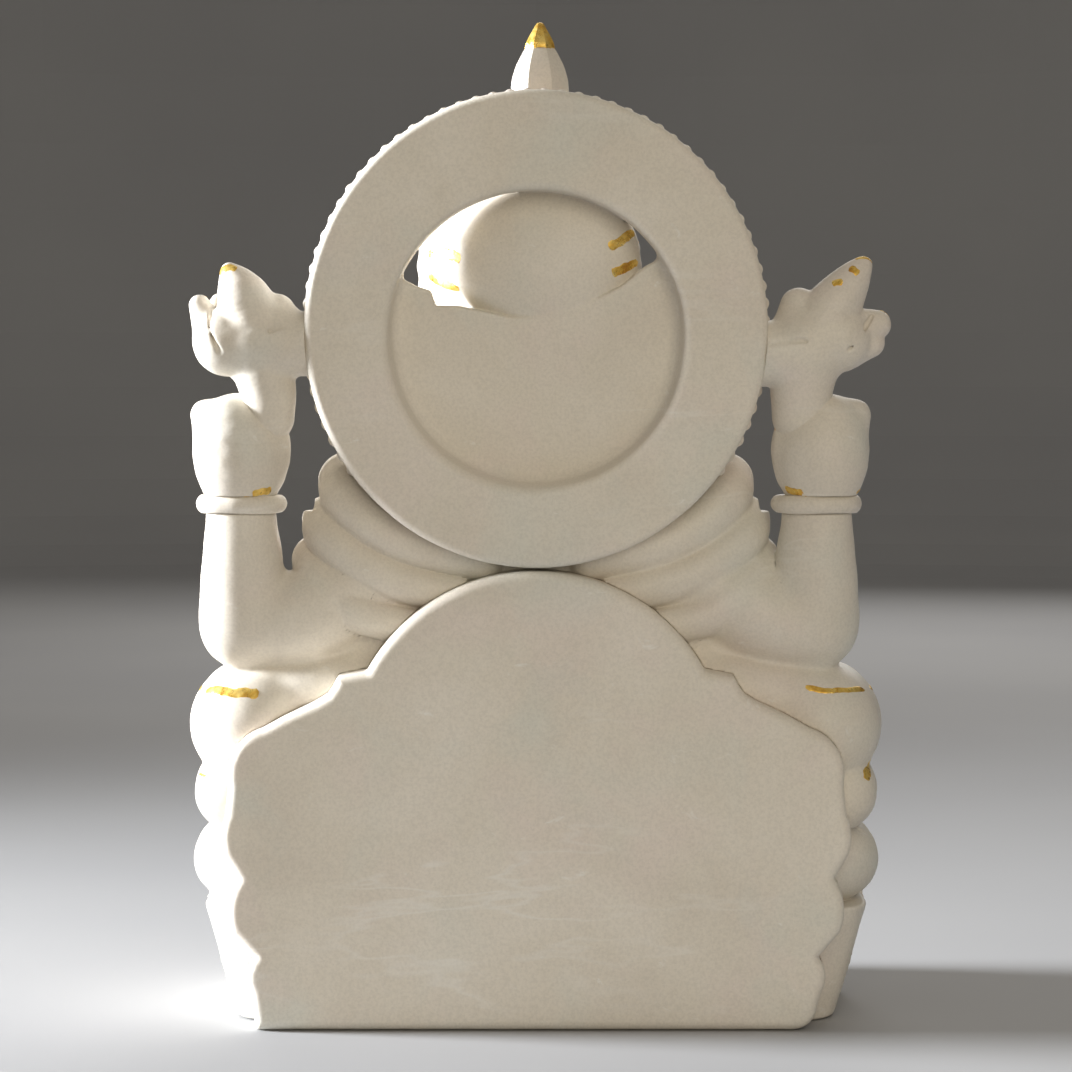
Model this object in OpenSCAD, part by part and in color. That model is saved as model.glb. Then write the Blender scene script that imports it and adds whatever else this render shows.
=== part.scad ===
// Four-armed Ganesha idol, seated cross-legged in front of a flat sawn back.
// The idol faces -Y. Its flat back lies in the plane y = back_y and the floor is z = 0.
// Left and right are the idol's own: its left side is +X.

/* [Idol] */
// Height from the floor to the tip of the crown; every other size follows it
idol_h = 305; // [200:5:460]

/* [Halo] */
// Width of the halo ring, at an idol height of 305
halo_w = 138; // [132:1:144]
// Height of the halo ring
halo_h = 142; // [136:1:148]
// Thickness of the halo ring, front to back
halo_t = 16; // [12:1:20]
// Diameter of the hole at the flat back face
halo_hole_d = 89; // [84:1:94]
// How much the hole narrows from the back face to the front of the ring
hole_taper = 6; // [2:1:8]
// Number of scallops round the front rim
scallops = 84; // [48:4:96]
// Thickness of the panel that closes the lower part of the hole
web_t = 9; // [6:1:12]

/* [Seat] */
// Height of the lotus base
base_h = 35; // [30:1:40]
// Half of the base's width at the floor
base_foot_hw = 92; // [86:1:94]
// Half of the base's width at its top
base_top_hw = 102; // [98:1:104]
// Number of lotus petals round the front of the base
petals = 11; // [7:2:15]
// Thickness of the back slab
slab_t = 26; // [20:1:32]

/* [Arms] */
// Radius of a rear forearm at the wrist
wrist_r = 10.6; // [9.5:0.1:11.5]
// Radius of the round bar of a bracelet
bangle_r = 2.6; // [2:0.1:3.2]

/* [Crown] */
// Radius of the crown's band
crown_r = 34; // [32:0.5:35]
// Height of the gilded tip
gilt_tip_h = 8; // [5:0.5:12]

/* [Hidden] */

design_h = 305;
limb_fn = 10;
small_fn = 8;
blob_fn = 16;
seam = 0.4; // how deep a gilded strip sits in the marble under it
wide = 300; // wider than the idol, for the blocks that cut it
back_y = 56;
marble = [0.87, 0.84, 0.78];
gold = [0.85, 0.65, 0.2];
ink = [0.1, 0.08, 0.07];

halo_z = 210;
hole_z = 207;
web_back_y = back_y - 11;
web_top_z = 228;
crown_axis = [0, 10];
crown_base_z = 217;
cushion_hw = 106;
cushion_r = 12.5;
cushion_z = base_h + cushion_r;

// ---- helpers -------------------------------------------------------------------------------

module sized() scale(idol_h / design_h) children();

module right_side() mirror([1, 0, 0]) children();

// One point of a limb: [x, y, z, radius]
module knot(k, fn = limb_fn) translate([k[0], k[1], k[2]]) sphere(r = k[3], $fn = fn);

module blob(centre, radii) translate(centre) scale(radii) sphere(r = 1, $fn = blob_fn);

// Catmull-Rom curve through the knots of a limb
function knot_at(k, i) = k[max(0, min(len(k) - 1, i))];
function between(a, b, c, d, t) =
    0.5 * (2 * b + (c - a) * t + (2 * a - 5 * b + 4 * c - d) * t * t + (3 * b - a - 3 * c + d) * t * t * t);
function smooth(k, steps) = concat(
    [for (i = [0 : len(k) - 2], j = [0 : steps - 1])
        between(knot_at(k, i - 1), k[i], k[i + 1], knot_at(k, i + 2), j / steps)],
    [k[len(k) - 1]]);

// A round limb that thickens and thins along its knots
module limb(knots, steps = 3, fn = limb_fn) {
    path = smooth(knots, steps);
    for (i = [0 : len(path) - 2])
        hull() {
            knot(path[i], fn);
            knot(path[i + 1], fn);
        }
}

// A ring of round bar about a limb, at [x, y, z], square to the direction d
module bangle(centre, d, ring_r, bar_r) {
    tilt = acos(d[2] / norm(d));
    turn = atan2(d[1], d[0]);
    translate(centre) rotate([0, tilt, turn])
        rotate_extrude($fn = 16) translate([ring_r, 0]) circle(r = bar_r, $fn = 6);
}

// ---- outlines ------------------------------------------------------------------------------

// Plan of the seat: boxy at the back and round at the front
function seat_plan(hw, front, rear) = [for (t = [0 : 9 : 351])
    let (c = cos(t), s = sin(t), e = s > 0 ? 0.3 : 0.72)
    [hw * sign(c) * pow(abs(c), e), 8 + (s > 0 ? rear - 8 : 8 - front) * sign(s) * pow(abs(s), e)]];

// An arc in the plane of the slab, from angle a0 to a1
function arc(cx, cz, r, a0, a1, n) = [for (i = [0 : n]) let (a = a0 + (a1 - a0) * i / n)
    [cx + r * cos(a), cz + r * sin(a)]];

// Right half of the slab's outline, from the foot up to the middle of the dome
slab_half = concat(
    [[84, 0], [84.6, 3]],
    arc(78, 16, 9, -35, 42, 5),
    arc(75, 36, 17.5, -22, 34, 6),
    arc(77, 58, 17.5, -16, 24, 5),
    arc(78, 77, 14.5, -12, 74, 8),
    [[73, 95.5], [64.5, 99.5], [61, 102.5], [60, 106]],
    arc(0, 80, 58, 30, 88, 9));
slab_outline = concat(slab_half,
    [for (i = [len(slab_half) - 1 : -1 : 0]) [-slab_half[i][0], slab_half[i][1]]]);

// ---- shapes that several pieces are cut against -----------------------------------------------

module slab_shape(chamfer = 2.2) {
    translate([0, back_y - chamfer, 0]) rotate([90, 0, 0])
        linear_extrude(slab_t - chamfer) polygon(slab_outline);
    intersection() {
        translate([0, back_y, 0]) rotate([90, 0, 0])
            linear_extrude(chamfer + 1) offset(delta = -chamfer / 2) polygon(slab_outline);
        translate([-wide / 2, 0, 0]) cube([wide, wide, wide]);
    }
}

module seat_plate(hw, front, rear, z, t) translate([0, 0, z]) linear_extrude(t)
    polygon(seat_plan(hw, front, rear));

module base_shape() hull() {
    seat_plate(base_foot_hw, -49, 44, 0, 1);
    seat_plate(base_top_hw, -54, 46, base_h - 1, 1);
}

// The cushion's side is a half round, drawn as a stack of plates
module cushion_shape() hull()
    for (a = [-90 : 30 : 90]) {
        inset = cushion_r * (1 - cos(a));
        z = cushion_z + (cushion_r - 0.1) * sin(a) - 0.1;
        seat_plate(cushion_hw - inset, -54 + inset, 46 - inset, z, 0.2);
    }

thigh_lobe = [[85.5, 31, 89.3, 20.3], [85.5, 12, 89.3, 20.3], [60, 20, 90, 20]];

// Thigh and bent knee: a heavy roll from the hip out to the side, seen from behind as one lobe
module thigh_shape() {
    limb([[26, 14, 88, 22], [52, 20, 90, 21], [76, 16, 89.5, 20], [85, -6, 89, 20]], 2, 12);
    hull()
        for (k = thigh_lobe)
            knot(k, 12);
}

// Left shin lies in front and low; the right one rests on it
module left_shin_shape() {
    limb([[92, 34, 69.5, 12], [93, 8, 69.5, 12], [84, -20, 69.5, 12.2], [52, -37, 70, 11.5],
        [18, -44, 70, 10], [2, -45, 70, 8.5]], 2);
}

module right_shin_shape() right_side() {
    limb([[92, 34, 69.5, 12], [93, 8, 69.5, 12], [84, -20, 70, 12.2], [54, -33, 75, 11.5],
        [24, -32, 82, 10], [4, -30, 86, 8.5]], 2);
}

module belly_shape() blob([0, -7, 121], [41, 31, 34]);

module torso_shape() hull() {
    blob([0, 18, 132], [50, 26, 40]);
    blob([0, 16, 164], [34, 20, 16]);
    blob([0, 16, 92], [40, 26, 12]);
}

module head_shape() {
    hull() {
        blob([0, 0, 194], [29, 27, 27]);
        blob([0, 8, 212], [31, 25, 14]);
    }
    for (side = [-1, 1])
        blob([side * 12, -10, 207], [15, 16, 14]);
    limb([[-20, -8, 186, 14], [-12, -14, 178, 13], [12, -14, 178, 13], [20, -8, 186, 14]], 1, 12);
}

trunk_path = [[0, -17, 190, 15], [0, -30, 178, 13], [0, -39, 163, 11.5], [3, -44, 147, 10],
    [11, -46, 133, 8.8], [23, -46, 125, 7.8], [33, -45, 127, 6.8], [36, -44, 134, 5.8]];

module crown_dome_shape() translate([crown_axis[0], crown_axis[1], 0]) rotate_extrude()
    polygon(concat([[0, crown_base_z + 19]], arc(0, crown_base_z + 19, 33, 0, 50, 6),
        [[17, 249], [16, 262], [12.5, 274], [9.5, 281], [0, 281]]));

module crown_band_shape() translate([crown_axis[0], crown_axis[1], crown_base_z]) {
    cylinder(r1 = crown_r - 4, r2 = crown_r, h = 6);
    translate([0, 0, 6]) cylinder(r = crown_r, h = 13);
}

// ---- rear arms -----------------------------------------------------------------------------

rear_y = 34;
bangle_z = 155;
arm_x = 87;
left_arm_out = 2; // the left forearm stands a little further out than the right one
right_arm_out = -2.2;

module rear_upper_arm_shape(out)
    limb([[50, 30, 133, 16], [60, 32, 128, 15.5], [72, rear_y, 122.5, 14.6],
        [arm_x + out - 2, rear_y, 121.5, 12.2]], 2);

module rear_forearm_shape(out)
    limb([[arm_x + out, rear_y, 120.5, 13.2], [arm_x + 0.2 + out, 35, 130, 13],
        [arm_x + out, 37, 142, 12], [arm_x + out, 39, 157, wrist_r]], 2, 14);

// The cloth over a shoulder falls in four broad folds
module shawl_shape() {
    limb([[30, 26, 168, 14], [46, 28, 157, 14.5], [54, 31, 147, 12.5]], 2);
    limb([[28, 28, 155, 17], [42, 30, 146, 17], [53, 32, 137, 14.5]], 2);
    limb([[26, 28, 142, 18], [42, 31, 135, 17], [56, 33, 126, 14.5]], 2);
    limb([[30, 30, 126, 16], [48, 32, 122, 16], [62, 33, 115, 12]], 2);
}

module rear_hand_shape(out) translate([out, 0, 0]) {
    limb([[87, 39, 160, 9.5], [87, 41, 166, 12.5], [87, 41, 174, 14.6], [87.5, 42, 178, 11.5]], 1, 12);
    // four folded fingers across the front
    for (i = [0 : 3])
        limb([[96, 37, 181 - i * 5.2, 4.2], [88, 29, 180.5 - i * 5.2, 4.4],
            [79, 31, 180 - i * 5.2, 4]], 1, 6);
    // thumb pressed up against the stem
    limb([[77.5, 40, 168, 5], [77, 42, 178, 4.6], [78.5, 43, 186, 4.2]], 1);
}

// Calyx and petals of the lotus bud held in a rear hand
module bud(stem, heart, petal_tips, bridge) {
    limb(stem, 1);
    for (tip = petal_tips)
        limb([[heart[0], heart[1], heart[2], 8.5], (heart + tip) / 2 + [0, 0, 0, 0.8], tip], 1, small_fn);
    limb(bridge, 1);
}

module left_lotus_shape() bud(
    stem = [[81, 43, 186, 7.5], [81.5, 44, 193, 7.6], [85, 45, 200, 8.5]],
    heart = [89, 44, 209, 9],
    petal_tips = [[92.5, 44, 225.5, 3], [100.5, 44, 217, 3.8], [100, 43, 206, 4], [76, 44, 219, 4],
        [96, 36, 214, 3.5], [84, 36, 218, 3.5], [90, 52, 214, 3]],
    bridge = [[85, 46, 205, 9], [74, 46, 206, 8.8], [67, 46, 206, 8.5]]);

module right_lotus_shape() right_side() bud(
    stem = [[79, 43, 186, 7.5], [80, 44, 193, 7.8], [82, 45, 200, 9]],
    heart = [87, 44, 208, 9],
    petal_tips = [[98, 44, 227, 2.8], [90, 44, 219, 5], [101.5, 44, 210, 4.4], [97, 43, 203, 4],
        [78, 44, 220, 4.5], [92, 36, 214, 3.5], [82, 36, 214, 3.5]],
    bridge = [[84, 46, 204, 9], [74, 46, 203, 8.8], [67, 46, 202, 8.5]]);

// ---- front arms ----------------------------------------------------------------------------

front_elbow = [62, -8, 122, 12];

module front_upper_arm_shape()
    limb([[38, 4, 158, 16], [50, 0, 148, 14.5], [58, -4, 135, 13], front_elbow], 3);

// The left forearm comes forward and down to the bowl, the right one is raised
left_wrist = [50, -33, 109];
right_wrist = [-47, -35, 138];

module left_front_forearm_shape()
    limb([front_elbow, [60, -18, 115, 11], [55, -28, 110.5, 9.5], concat(left_wrist, 8)], 3);

module right_front_forearm_shape()
    limb([[-62, -8, 122, 12], [-60, -20, 125, 11], [-53, -30, 131, 9.5], concat(right_wrist, 8)], 3);

// ---- seat ----------------------------------------------------------------------------------

module lotus_base() sized() color(marble) difference() {
    base_shape();
    slab_shape();
}

// The line that the petals stand on, from the idol's right round the front to its left
petal_hw = 94;
petal_reach = 58.4;
petal_step = 4;

function petal_foot(t) = [petal_hw * sign(cos(t)) * pow(abs(cos(t)), 0.72),
    8 + petal_reach * sign(sin(t)) * pow(abs(sin(t)), 0.72)];

function walked(t, from = 188) = t <= from ? 0
    : walked(t - petal_step) + norm(petal_foot(t) - petal_foot(t - petal_step));

petal_walk = [for (t = [188 : petal_step : 352]) [walked(t), t]];
petal_pitch = walked(352) / (petals - 1);

// One petal, standing against the base with its tip up
module petal(w, h) hull() {
    scale([w / 2, 4, h * 0.3]) sphere(r = 1, $fn = small_fn);
    translate([0, -1.5, h * 0.62]) sphere(r = 1.6, $fn = small_fn);
}

module lotus_petals() sized() color(marble) difference() {
    for (i = [0 : petals - 1]) {
        t = lookup(i * petal_pitch, petal_walk);
        foot = petal_foot(t);
        turn = atan2(foot.x / petal_hw, (8 - foot.y) / petal_reach);
        translate([foot.x, foot.y, 12]) rotate([7, 0, turn]) petal(petal_pitch * 0.94, 31);
    }
    base_shape();
    translate([-wide / 2, -wide / 2, -50]) cube([wide, wide, 50]);
    translate([-wide / 2, -wide / 2, base_h]) cube([wide, wide, 50]);
}

module seat_cushion() sized() color(marble) difference() {
    cushion_shape();
    slab_shape();
}

module back_slab() sized() color(marble) slab_shape();

// ---- halo ----------------------------------------------------------------------------------

module halo_disc(grow, y_back, t) translate([0, y_back, halo_z]) rotate([90, 0, 0])
    linear_extrude(t) scale([halo_w / halo_h, 1]) circle(d = halo_h + grow, $fn = 120);

module hole_cone(grow = 0) translate([0, back_y + 1, hole_z]) rotate([90, 0, 0])
    cylinder(d1 = halo_hole_d + grow, d2 = halo_hole_d - hole_taper + grow, h = halo_t + 2, $fn = 96);

module halo_ring() sized() color(marble) difference() {
    halo_disc(0, back_y, halo_t);
    hole_cone();
}

// Scalloped edge: the radius follows a row of half waves
rim_rise = 1.8;
rim_t = 6;
rim_w = 7; // how far the rim reaches in from the ring's edge
rim_outline = [for (i = [0 : scallops * 6 - 1]) let (a = 360 * i / (scallops * 6),
    r = 1 + rim_rise / (halo_h / 2) * abs(sin(a * scallops / 2)))
    [halo_w / 2 * r * cos(a), halo_h / 2 * r * sin(a)]];

module halo_scalloped_rim() sized() color(marble) difference() {
    translate([0, back_y - halo_t, halo_z]) rotate([90, 0, 0])
        linear_extrude(rim_t) polygon(rim_outline);
    halo_disc(-2 * rim_w, back_y, halo_t + rim_t + 1);
}

// Panel behind the neck; its top follows the round of the crown
module halo_web() sized() color(marble) difference() {
    intersection() {
        translate([0, web_back_y, hole_z]) rotate([90, 0, 0])
            cylinder(d = halo_hole_d - hole_taper - 0.8, h = web_t, $fn = 96);
        translate([-wide / 2, 0, web_top_z - wide]) cube([wide, wide, wide]);
    }
    crown_dome_shape();
    crown_band_shape();
    translate([crown_axis[0], crown_axis[1], crown_base_z + 18])
        cylinder(r = crown_r, h = 12, $fn = 72);
}

// ---- body ----------------------------------------------------------------------------------

module torso() sized() color(marble) difference() {
    torso_shape();
    belly_shape();
    slab_shape();
    cushion_shape();
    thigh_shape();
    right_side() thigh_shape();
}

module belly() sized() color(marble) difference() {
    belly_shape();
    thigh_shape();
    right_side() thigh_shape();
}

module dhoti_lap() sized() color(marble) difference() {
    hull() {
        blob([0, -14, 76], [50, 22, 17]);
        blob([0, 10, 76], [46, 20, 17]);
        for (side = [-1, 1])
            blob([side * 64, -9, 73], [15, 17, 11]);
    }
    torso_shape();
    belly_shape();
    thigh_shape();
    right_side() thigh_shape();
    left_shin_shape();
    right_shin_shape();
    right_foot_shape();
    cushion_shape();
}

module left_shawl_piece() difference() {
    shawl_shape();
    torso_shape();
    slab_shape();
    halo_disc(0.4, back_y, halo_t + rim_t);
    thigh_shape();
}

module left_shawl() sized() color(marble) left_shawl_piece();

module right_shawl() sized() color(marble) right_side() left_shawl_piece();

// A thin cord of cloth tied round the belly
module belly_belt() sized() color(gold) difference() {
    intersection() {
        blob([0, -7, 121], [41.9, 31.9, 34.9]);
        translate([-60, -60, 127]) rotate([-4, 0, 0]) cube([120, 48, 3.5]);
    }
    belly_shape();
    front_arms_shape();
    limb(trunk_path, 2);
}

// ---- head ----------------------------------------------------------------------------------

module head() sized() color(marble) difference() {
    head_shape();
    crown_band_shape();
    torso_shape();
    translate([-wide / 2, web_back_y - web_t, 100]) cube([wide, wide, wide]);
    eyes_shape();
}

// Broad fan-shaped ear, tilted forward at its outer edge
module ear_shape() difference() {
    union() {
        limb([[27, 12, 208, 5], [44, 10, 216, 4.4], [57, 5, 210, 3.6]], 3);
        hull() {
            knot([27, 12, 206, 5]);
            knot([44, 9, 214, 4.6]);
            knot([58, 3, 207, 3.4]);
            knot([61, 2, 194, 3.2]);
            knot([52, 5, 176, 3]);
            knot([42, 9, 169, 2.8]);
            knot([26, 12, 184, 5]);
        }
    }
    head_shape();
    torso_shape();
    front_upper_arm_shape();
    shawl_shape();
    crown_band_shape();
}

module left_ear() sized() color(marble) ear_shape();

module right_ear() sized() color(marble) right_side() ear_shape();

module eyes_shape() for (side = [-1, 1])
    translate([side * 16.5, -20.5, 197]) rotate([-6, 0, side * 38]) scale([5.2, 2.2, 2.4])
        sphere(r = 1, $fn = 24);

module eyes() sized() color(ink) eyes_shape();

// Three short strokes and a drop on the brow
module forehead_mark() sized() color(gold) difference() {
    union() {
        for (i = [-1 : 1])
            hull() {
                knot([-6, -24.5 - cos(i * 20) * 1.5, 208 + i * 3.6, 1.1]);
                knot([6, -24.5 - cos(i * 20) * 1.5, 208 + i * 3.6, 1.1]);
            }
    }
    head_shape();
    limb(trunk_path, 2);
}

module trunk() sized() color(marble) difference() {
    limb(trunk_path, 2);
    head_shape();
    belly_shape();
}

tusk_root_y = -26;

module tusk(length) {
    difference() {
        limb([[11, -20, 180, 4.2], [15, -30, 175, 3.6], [17, -36, 172, 3]], 2);
        head_shape();
        limb(trunk_path, 2);
        translate([-wide / 2, tusk_root_y - length - wide, 150]) cube([wide, wide, 50]);
    }
}

module left_tusk() sized() color(marble) tusk(14);

// The right tusk is broken off short
module right_tusk() sized() color(marble) right_side() tusk(7);

// A garland that hangs over the chest, from shoulder to shoulder
module necklace() sized() color(gold) difference() {
    limb([[33, -10, 168, 2.4], [29, -24, 156, 2.6], [15, -33, 149, 2.8], [0, -36, 147, 3],
        [-15, -33, 149, 2.8], [-29, -24, 156, 2.6], [-33, -10, 168, 2.4]], 2, small_fn);
    belly_shape();
    torso_shape();
    limb(trunk_path, 2);
    front_arms_shape();
}

// ---- crown ---------------------------------------------------------------------------------

module crown_band() sized() color(marble) crown_band_shape();

module crown_dome() sized() color(marble) difference() {
    crown_dome_shape();
    crown_gilding_shape();
}

finial_x = -1.2; // the finial stands a little to the right of the middle
finial_foot_z = 281;
finial_top_z = design_h;

// Eight-sided bud on top of the crown
finial_rings = [[9.4, finial_foot_z], [9.2, 287], [8, 291.5], [4.9, design_h - gilt_tip_h]];

module finial_part(i) translate([finial_x, crown_axis[1], finial_rings[i][1]])
    rotate([0, 0, 22.5]) cylinder(r1 = finial_rings[i][0], r2 = finial_rings[i + 1][0],
        h = finial_rings[i + 1][1] - finial_rings[i][1], $fn = 8);

module crown_finial() sized() color(marble)
    for (i = [0 : 2])
        finial_part(i);

module finial_gilding() sized() color(gold) translate([finial_x, crown_axis[1], 0]) hull() {
    translate([0, 0, design_h - gilt_tip_h]) rotate([0, 0, 22.5]) cylinder(r = 4.9, h = 0.5, $fn = 8);
    translate([0, 0, finial_top_z - 1.6]) sphere(r = 1.6, $fn = 16);
}

// Gilded lines round the dome of the crown
module crown_gilding_shape() {
    for (line = [[crown_base_z + 20.5, 33], [crown_base_z + 28, 31.6]])
        translate([crown_axis[0], crown_axis[1], line[0]])
            rotate_extrude() translate([line[1] - 0.3, 0]) circle(r = 1.1, $fn = 20);
}

module crown_gilding() sized() color(gold) crown_gilding_shape();

// ---- rear arms as pieces -------------------------------------------------------------------

module rear_upper_arm(out) difference() {
    rear_upper_arm_shape(out);
    shawl_shape();
    torso_shape();
    slab_shape();
    rear_forearm_shape(out);
    thigh_shape();
    front_upper_arm_shape();
}

module left_rear_upper_arm() sized() color(marble) rear_upper_arm(left_arm_out);

module right_rear_upper_arm() sized() color(marble) right_side() rear_upper_arm(right_arm_out);

module rear_forearm(out) difference() {
    rear_forearm_shape(out);
    thigh_shape();
    translate([0, 0, bangle_z]) cube([wide, wide, 20]);
}

module left_rear_forearm() sized() color(marble) rear_forearm(left_arm_out);

module right_rear_forearm() sized() color(marble) right_side() rear_forearm(right_arm_out);

// A bracelet is a disc with a rounded rim, between the forearm and the hand
module rear_bracelet(out) translate([arm_x + out, 38.5, bangle_z]) rotate_extrude()
    union() {
        square([wrist_r + 0.2, 2 * bangle_r]);
        translate([wrist_r + 0.2, bangle_r]) circle(r = bangle_r, $fn = 24);
    }

module left_rear_bracelet() sized() color(marble) rear_bracelet(left_arm_out);

module right_rear_bracelet() sized() color(marble) right_side() rear_bracelet(right_arm_out);

hand_foot_z = bangle_z + 2 * bangle_r;

module rear_hand(out) difference() {
    rear_hand_shape(out);
    translate([0, 0, hand_foot_z - 30]) cube([wide, wide, 30]);
    wrist_gilding_shape(out);
}

module left_rear_hand() sized() color(marble) difference() {
    rear_hand(left_arm_out);
    left_lotus_shape();
}

module right_rear_hand() sized() color(marble) difference() {
    right_side() rear_hand(right_arm_out / 2);
    right_lotus_shape();
}

// A thread of gold where the hand meets the bracelet
module wrist_gilding_shape(out) translate([arm_x + out, 39, hand_foot_z + 0.7])
    rotate_extrude($fn = 32) translate([9.8, 0]) circle(r = 0.7, $fn = small_fn);

module wrist_gilding() sized() color(gold) {
    wrist_gilding_shape(left_arm_out);
    right_side() wrist_gilding_shape(right_arm_out / 2);
}

module left_lotus() sized() color(marble) difference() {
    left_lotus_shape();
    halo_disc(0, back_y, halo_t);
    halo_disc(2 * rim_rise, back_y - halo_t, rim_t);
    lotus_gilding_shape();
}

module right_lotus() sized() color(marble) difference() {
    right_lotus_shape();
    halo_disc(0, back_y, halo_t);
    halo_disc(2 * rim_rise, back_y - halo_t, rim_t);
    lotus_gilding_shape();
}

module lotus_gilding_shape() {
    hull() {
        knot([92.5, 44, 226.6, 3.1]);
        knot([92.5, 44, 228.4, 2.2]);
    }
    hull() {
        knot([-98, 44, 228.2, 2.9]);
        knot([-98.2, 44, 229.8, 2]);
    }
    for (z = [220, 223.5])
        hull() {
            knot([-89, 47.6, z, 1.1], small_fn);
            knot([-93.5, 47.4, z + 1.2, 1.1], small_fn);
        }
}

module lotus_gilding() sized() color(gold) lotus_gilding_shape();

// ---- front arms as pieces ------------------------------------------------------------------

module front_arms_shape() {
    front_upper_arm_shape();
    right_side() front_upper_arm_shape();
    left_front_forearm_shape();
    right_front_forearm_shape();
}

module left_front_upper_arm() sized() color(marble) difference() {
    front_upper_arm_shape();
    torso_shape();
    belly_shape();
    left_front_forearm_shape();
    thigh_shape();
}

module right_front_upper_arm() sized() color(marble) difference() {
    right_side() front_upper_arm_shape();
    torso_shape();
    belly_shape();
    right_front_forearm_shape();
    right_side() thigh_shape();
}

module left_front_forearm() sized() color(marble) difference() {
    left_front_forearm_shape();
    thigh_shape();
    belly_shape();
    left_bangle_shape();
}

module right_front_forearm() sized() color(marble) difference() {
    right_front_forearm_shape();
    belly_shape();
    right_side() thigh_shape();
    right_bangle_shape();
}

module left_bangle_shape() bangle(left_wrist + [1, 1.5, 0.5], [-5, -5, -1.6], 8.3, 2);

module right_bangle_shape() bangle(right_wrist + [-1, 1, -1.2], [6, -5, 7], 8.3, 2);

module left_front_bracelet() sized() color(gold) left_bangle_shape();

module right_front_bracelet() sized() color(gold) right_bangle_shape();

// The left hand lies palm up under the bowl
module left_hand_shape() {
    hull() {
        knot([47, -38, 107, 5.5]);
        knot([38, -41, 106.5, 5]);
        knot([46, -46, 106.5, 5]);
    }
    for (i = [0 : 3])
        limb([[44 - i * 2.5, -46 + i * 3, 107, 3.4], [37 - i * 2.2, -49 + i * 4, 108, 3.1],
            [33 - i * 1.6, -49 + i * 4.4, 111.5, 2.7]], 1, small_fn);
    limb([[49, -43, 109, 3.6], [52, -49, 112, 3.3], [52, -51, 115, 2.8]], 1, small_fn);
}

module left_front_hand() sized() color(marble) difference() {
    left_hand_shape();
    left_front_forearm_shape();
    left_bangle_shape();
    bowl_shape();
    thigh_shape();
}

// The right hand is raised with its palm to the front
module right_hand_shape() {
    hull() {
        knot([-45, -38, 143, 5.5]);
        knot([-51, -40, 151, 4]);
        knot([-38, -40, 151, 4]);
    }
    for (i = [0 : 3])
        limb([[-51.4 + i * 4.4, -40, 152, 2.7], [-52 + i * 4.6, -41.5, 160, 2.6],
            [-51.6 + i * 4.5, -41, 165 - abs(i - 1.6), 2.3]], 1, small_fn);
    limb([[-38, -40, 145, 3], [-34.5, -43, 150, 2.9], [-34, -44, 155, 2.5]], 1, small_fn);
}

module right_front_hand() sized() color(marble) difference() {
    right_hand_shape();
    right_front_forearm_shape();
    right_bangle_shape();
    limb(trunk_path, 2);
}

bowl_at = [45, -41.5, 110];
bowl_h = 9;

module bowl_shape() translate(bowl_at) cylinder(r1 = 7.5, r2 = 12.5, h = bowl_h, $fn = 32);

module laddu_bowl() sized() color(gold) bowl_shape();

// A heap of round sweets: six in a ring and one on top
laddu_r = 3.5;
top_laddu_r = 4.2;
laddu_ring_r = 7.2;
top_laddu_rise = sqrt(pow(laddu_r + top_laddu_r, 2) - pow(laddu_ring_r, 2));

module laddus() sized() color(marble) translate(bowl_at + [0, 0, bowl_h + laddu_r]) {
    for (i = [0 : 5])
        rotate([0, 0, 60 * i]) translate([laddu_ring_r, 0, 0]) sphere(r = laddu_r);
    translate([0, 0, top_laddu_rise]) sphere(r = top_laddu_r);
}

// ---- legs as pieces ------------------------------------------------------------------------

module thigh_piece() difference() {
    thigh_shape();
    slab_shape();
    thigh_gilding_shape();
    translate([-wide, -wide / 2, 0]) cube([wide, wide, wide]);
}

module left_thigh() sized() color(marble) thigh_piece();

module right_thigh() sized() color(marble) right_side() thigh_piece();

// A band of gold over each thigh at the hem of the dhoti
module thigh_skin(grow) hull()
    for (k = thigh_lobe)
        knot([k[0], k[1], k[2], k[3] + grow], 12);

hem_x = 82;
hem_y = 10;
hem_w = 3;

module thigh_gilding_shape() difference() {
    intersection() {
        thigh_skin(seam);
        translate([hem_x, hem_y, 98.6]) cube([30, 50, hem_w]);
    }
    thigh_skin(-seam);
}

module thigh_gilding() sized() color(gold) {
    thigh_gilding_shape();
    right_side() thigh_gilding_shape();
}

module left_shin() sized() color(marble) difference() {
    left_shin_shape();
    thigh_shape();
    cushion_shape();
    slab_shape();
}

module right_shin() sized() color(marble) difference() {
    right_shin_shape();
    right_side() thigh_shape();
    left_shin_shape();
    cushion_shape();
    slab_shape();
}

// A bare foot: heel, instep, ball and five toes, lying along -X from the heel
module foot_shape(heel, turn) translate(heel) rotate([0, 0, turn]) {
    hull() {
        knot([0, 0, 0, 7.5]);
        knot([-14, 0, 0, 6]);
        knot([-23, -2, -2, 4.6]);
        knot([-23, 5, -2.5, 4]);
    }
    for (i = [0 : 4])
        hull() {
            knot([-24, -4.5 + i * 2.7, -2.6, 2.7 - i * 0.2], 6);
            knot([-31 + i * 1.2, -5 + i * 2.8, -3, 2.4 - i * 0.2], 6);
        }
}

module left_foot_shape() foot_shape([-3, -45, 69], 2);

module right_foot_shape() mirror([1, 0, 0]) foot_shape([-3, -29, 87.5], -8);

module left_foot() sized() color(marble) difference() {
    left_foot_shape();
    left_shin_shape();
    right_shin_shape();
    cushion_shape();
    thigh_shape();
    right_side() thigh_shape();
}

module right_foot() sized() color(marble) difference() {
    right_foot_shape();
    right_shin_shape();
    left_shin_shape();
    belly_shape();
    thigh_shape();
}

module anklet_shape() {
    bangle([7, -44.8, 70], [-1, 0, 0], 9.2, 1.5);
    bangle([-9, -30.5, 85.2], [1, 0, 0.2], 9.2, 1.5);
}

module anklets() sized() color(gold) difference() {
    anklet_shape();
    cushion_shape();
    left_shin_shape();
    right_shin_shape();
    left_foot_shape();
    right_foot_shape();
}

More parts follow.
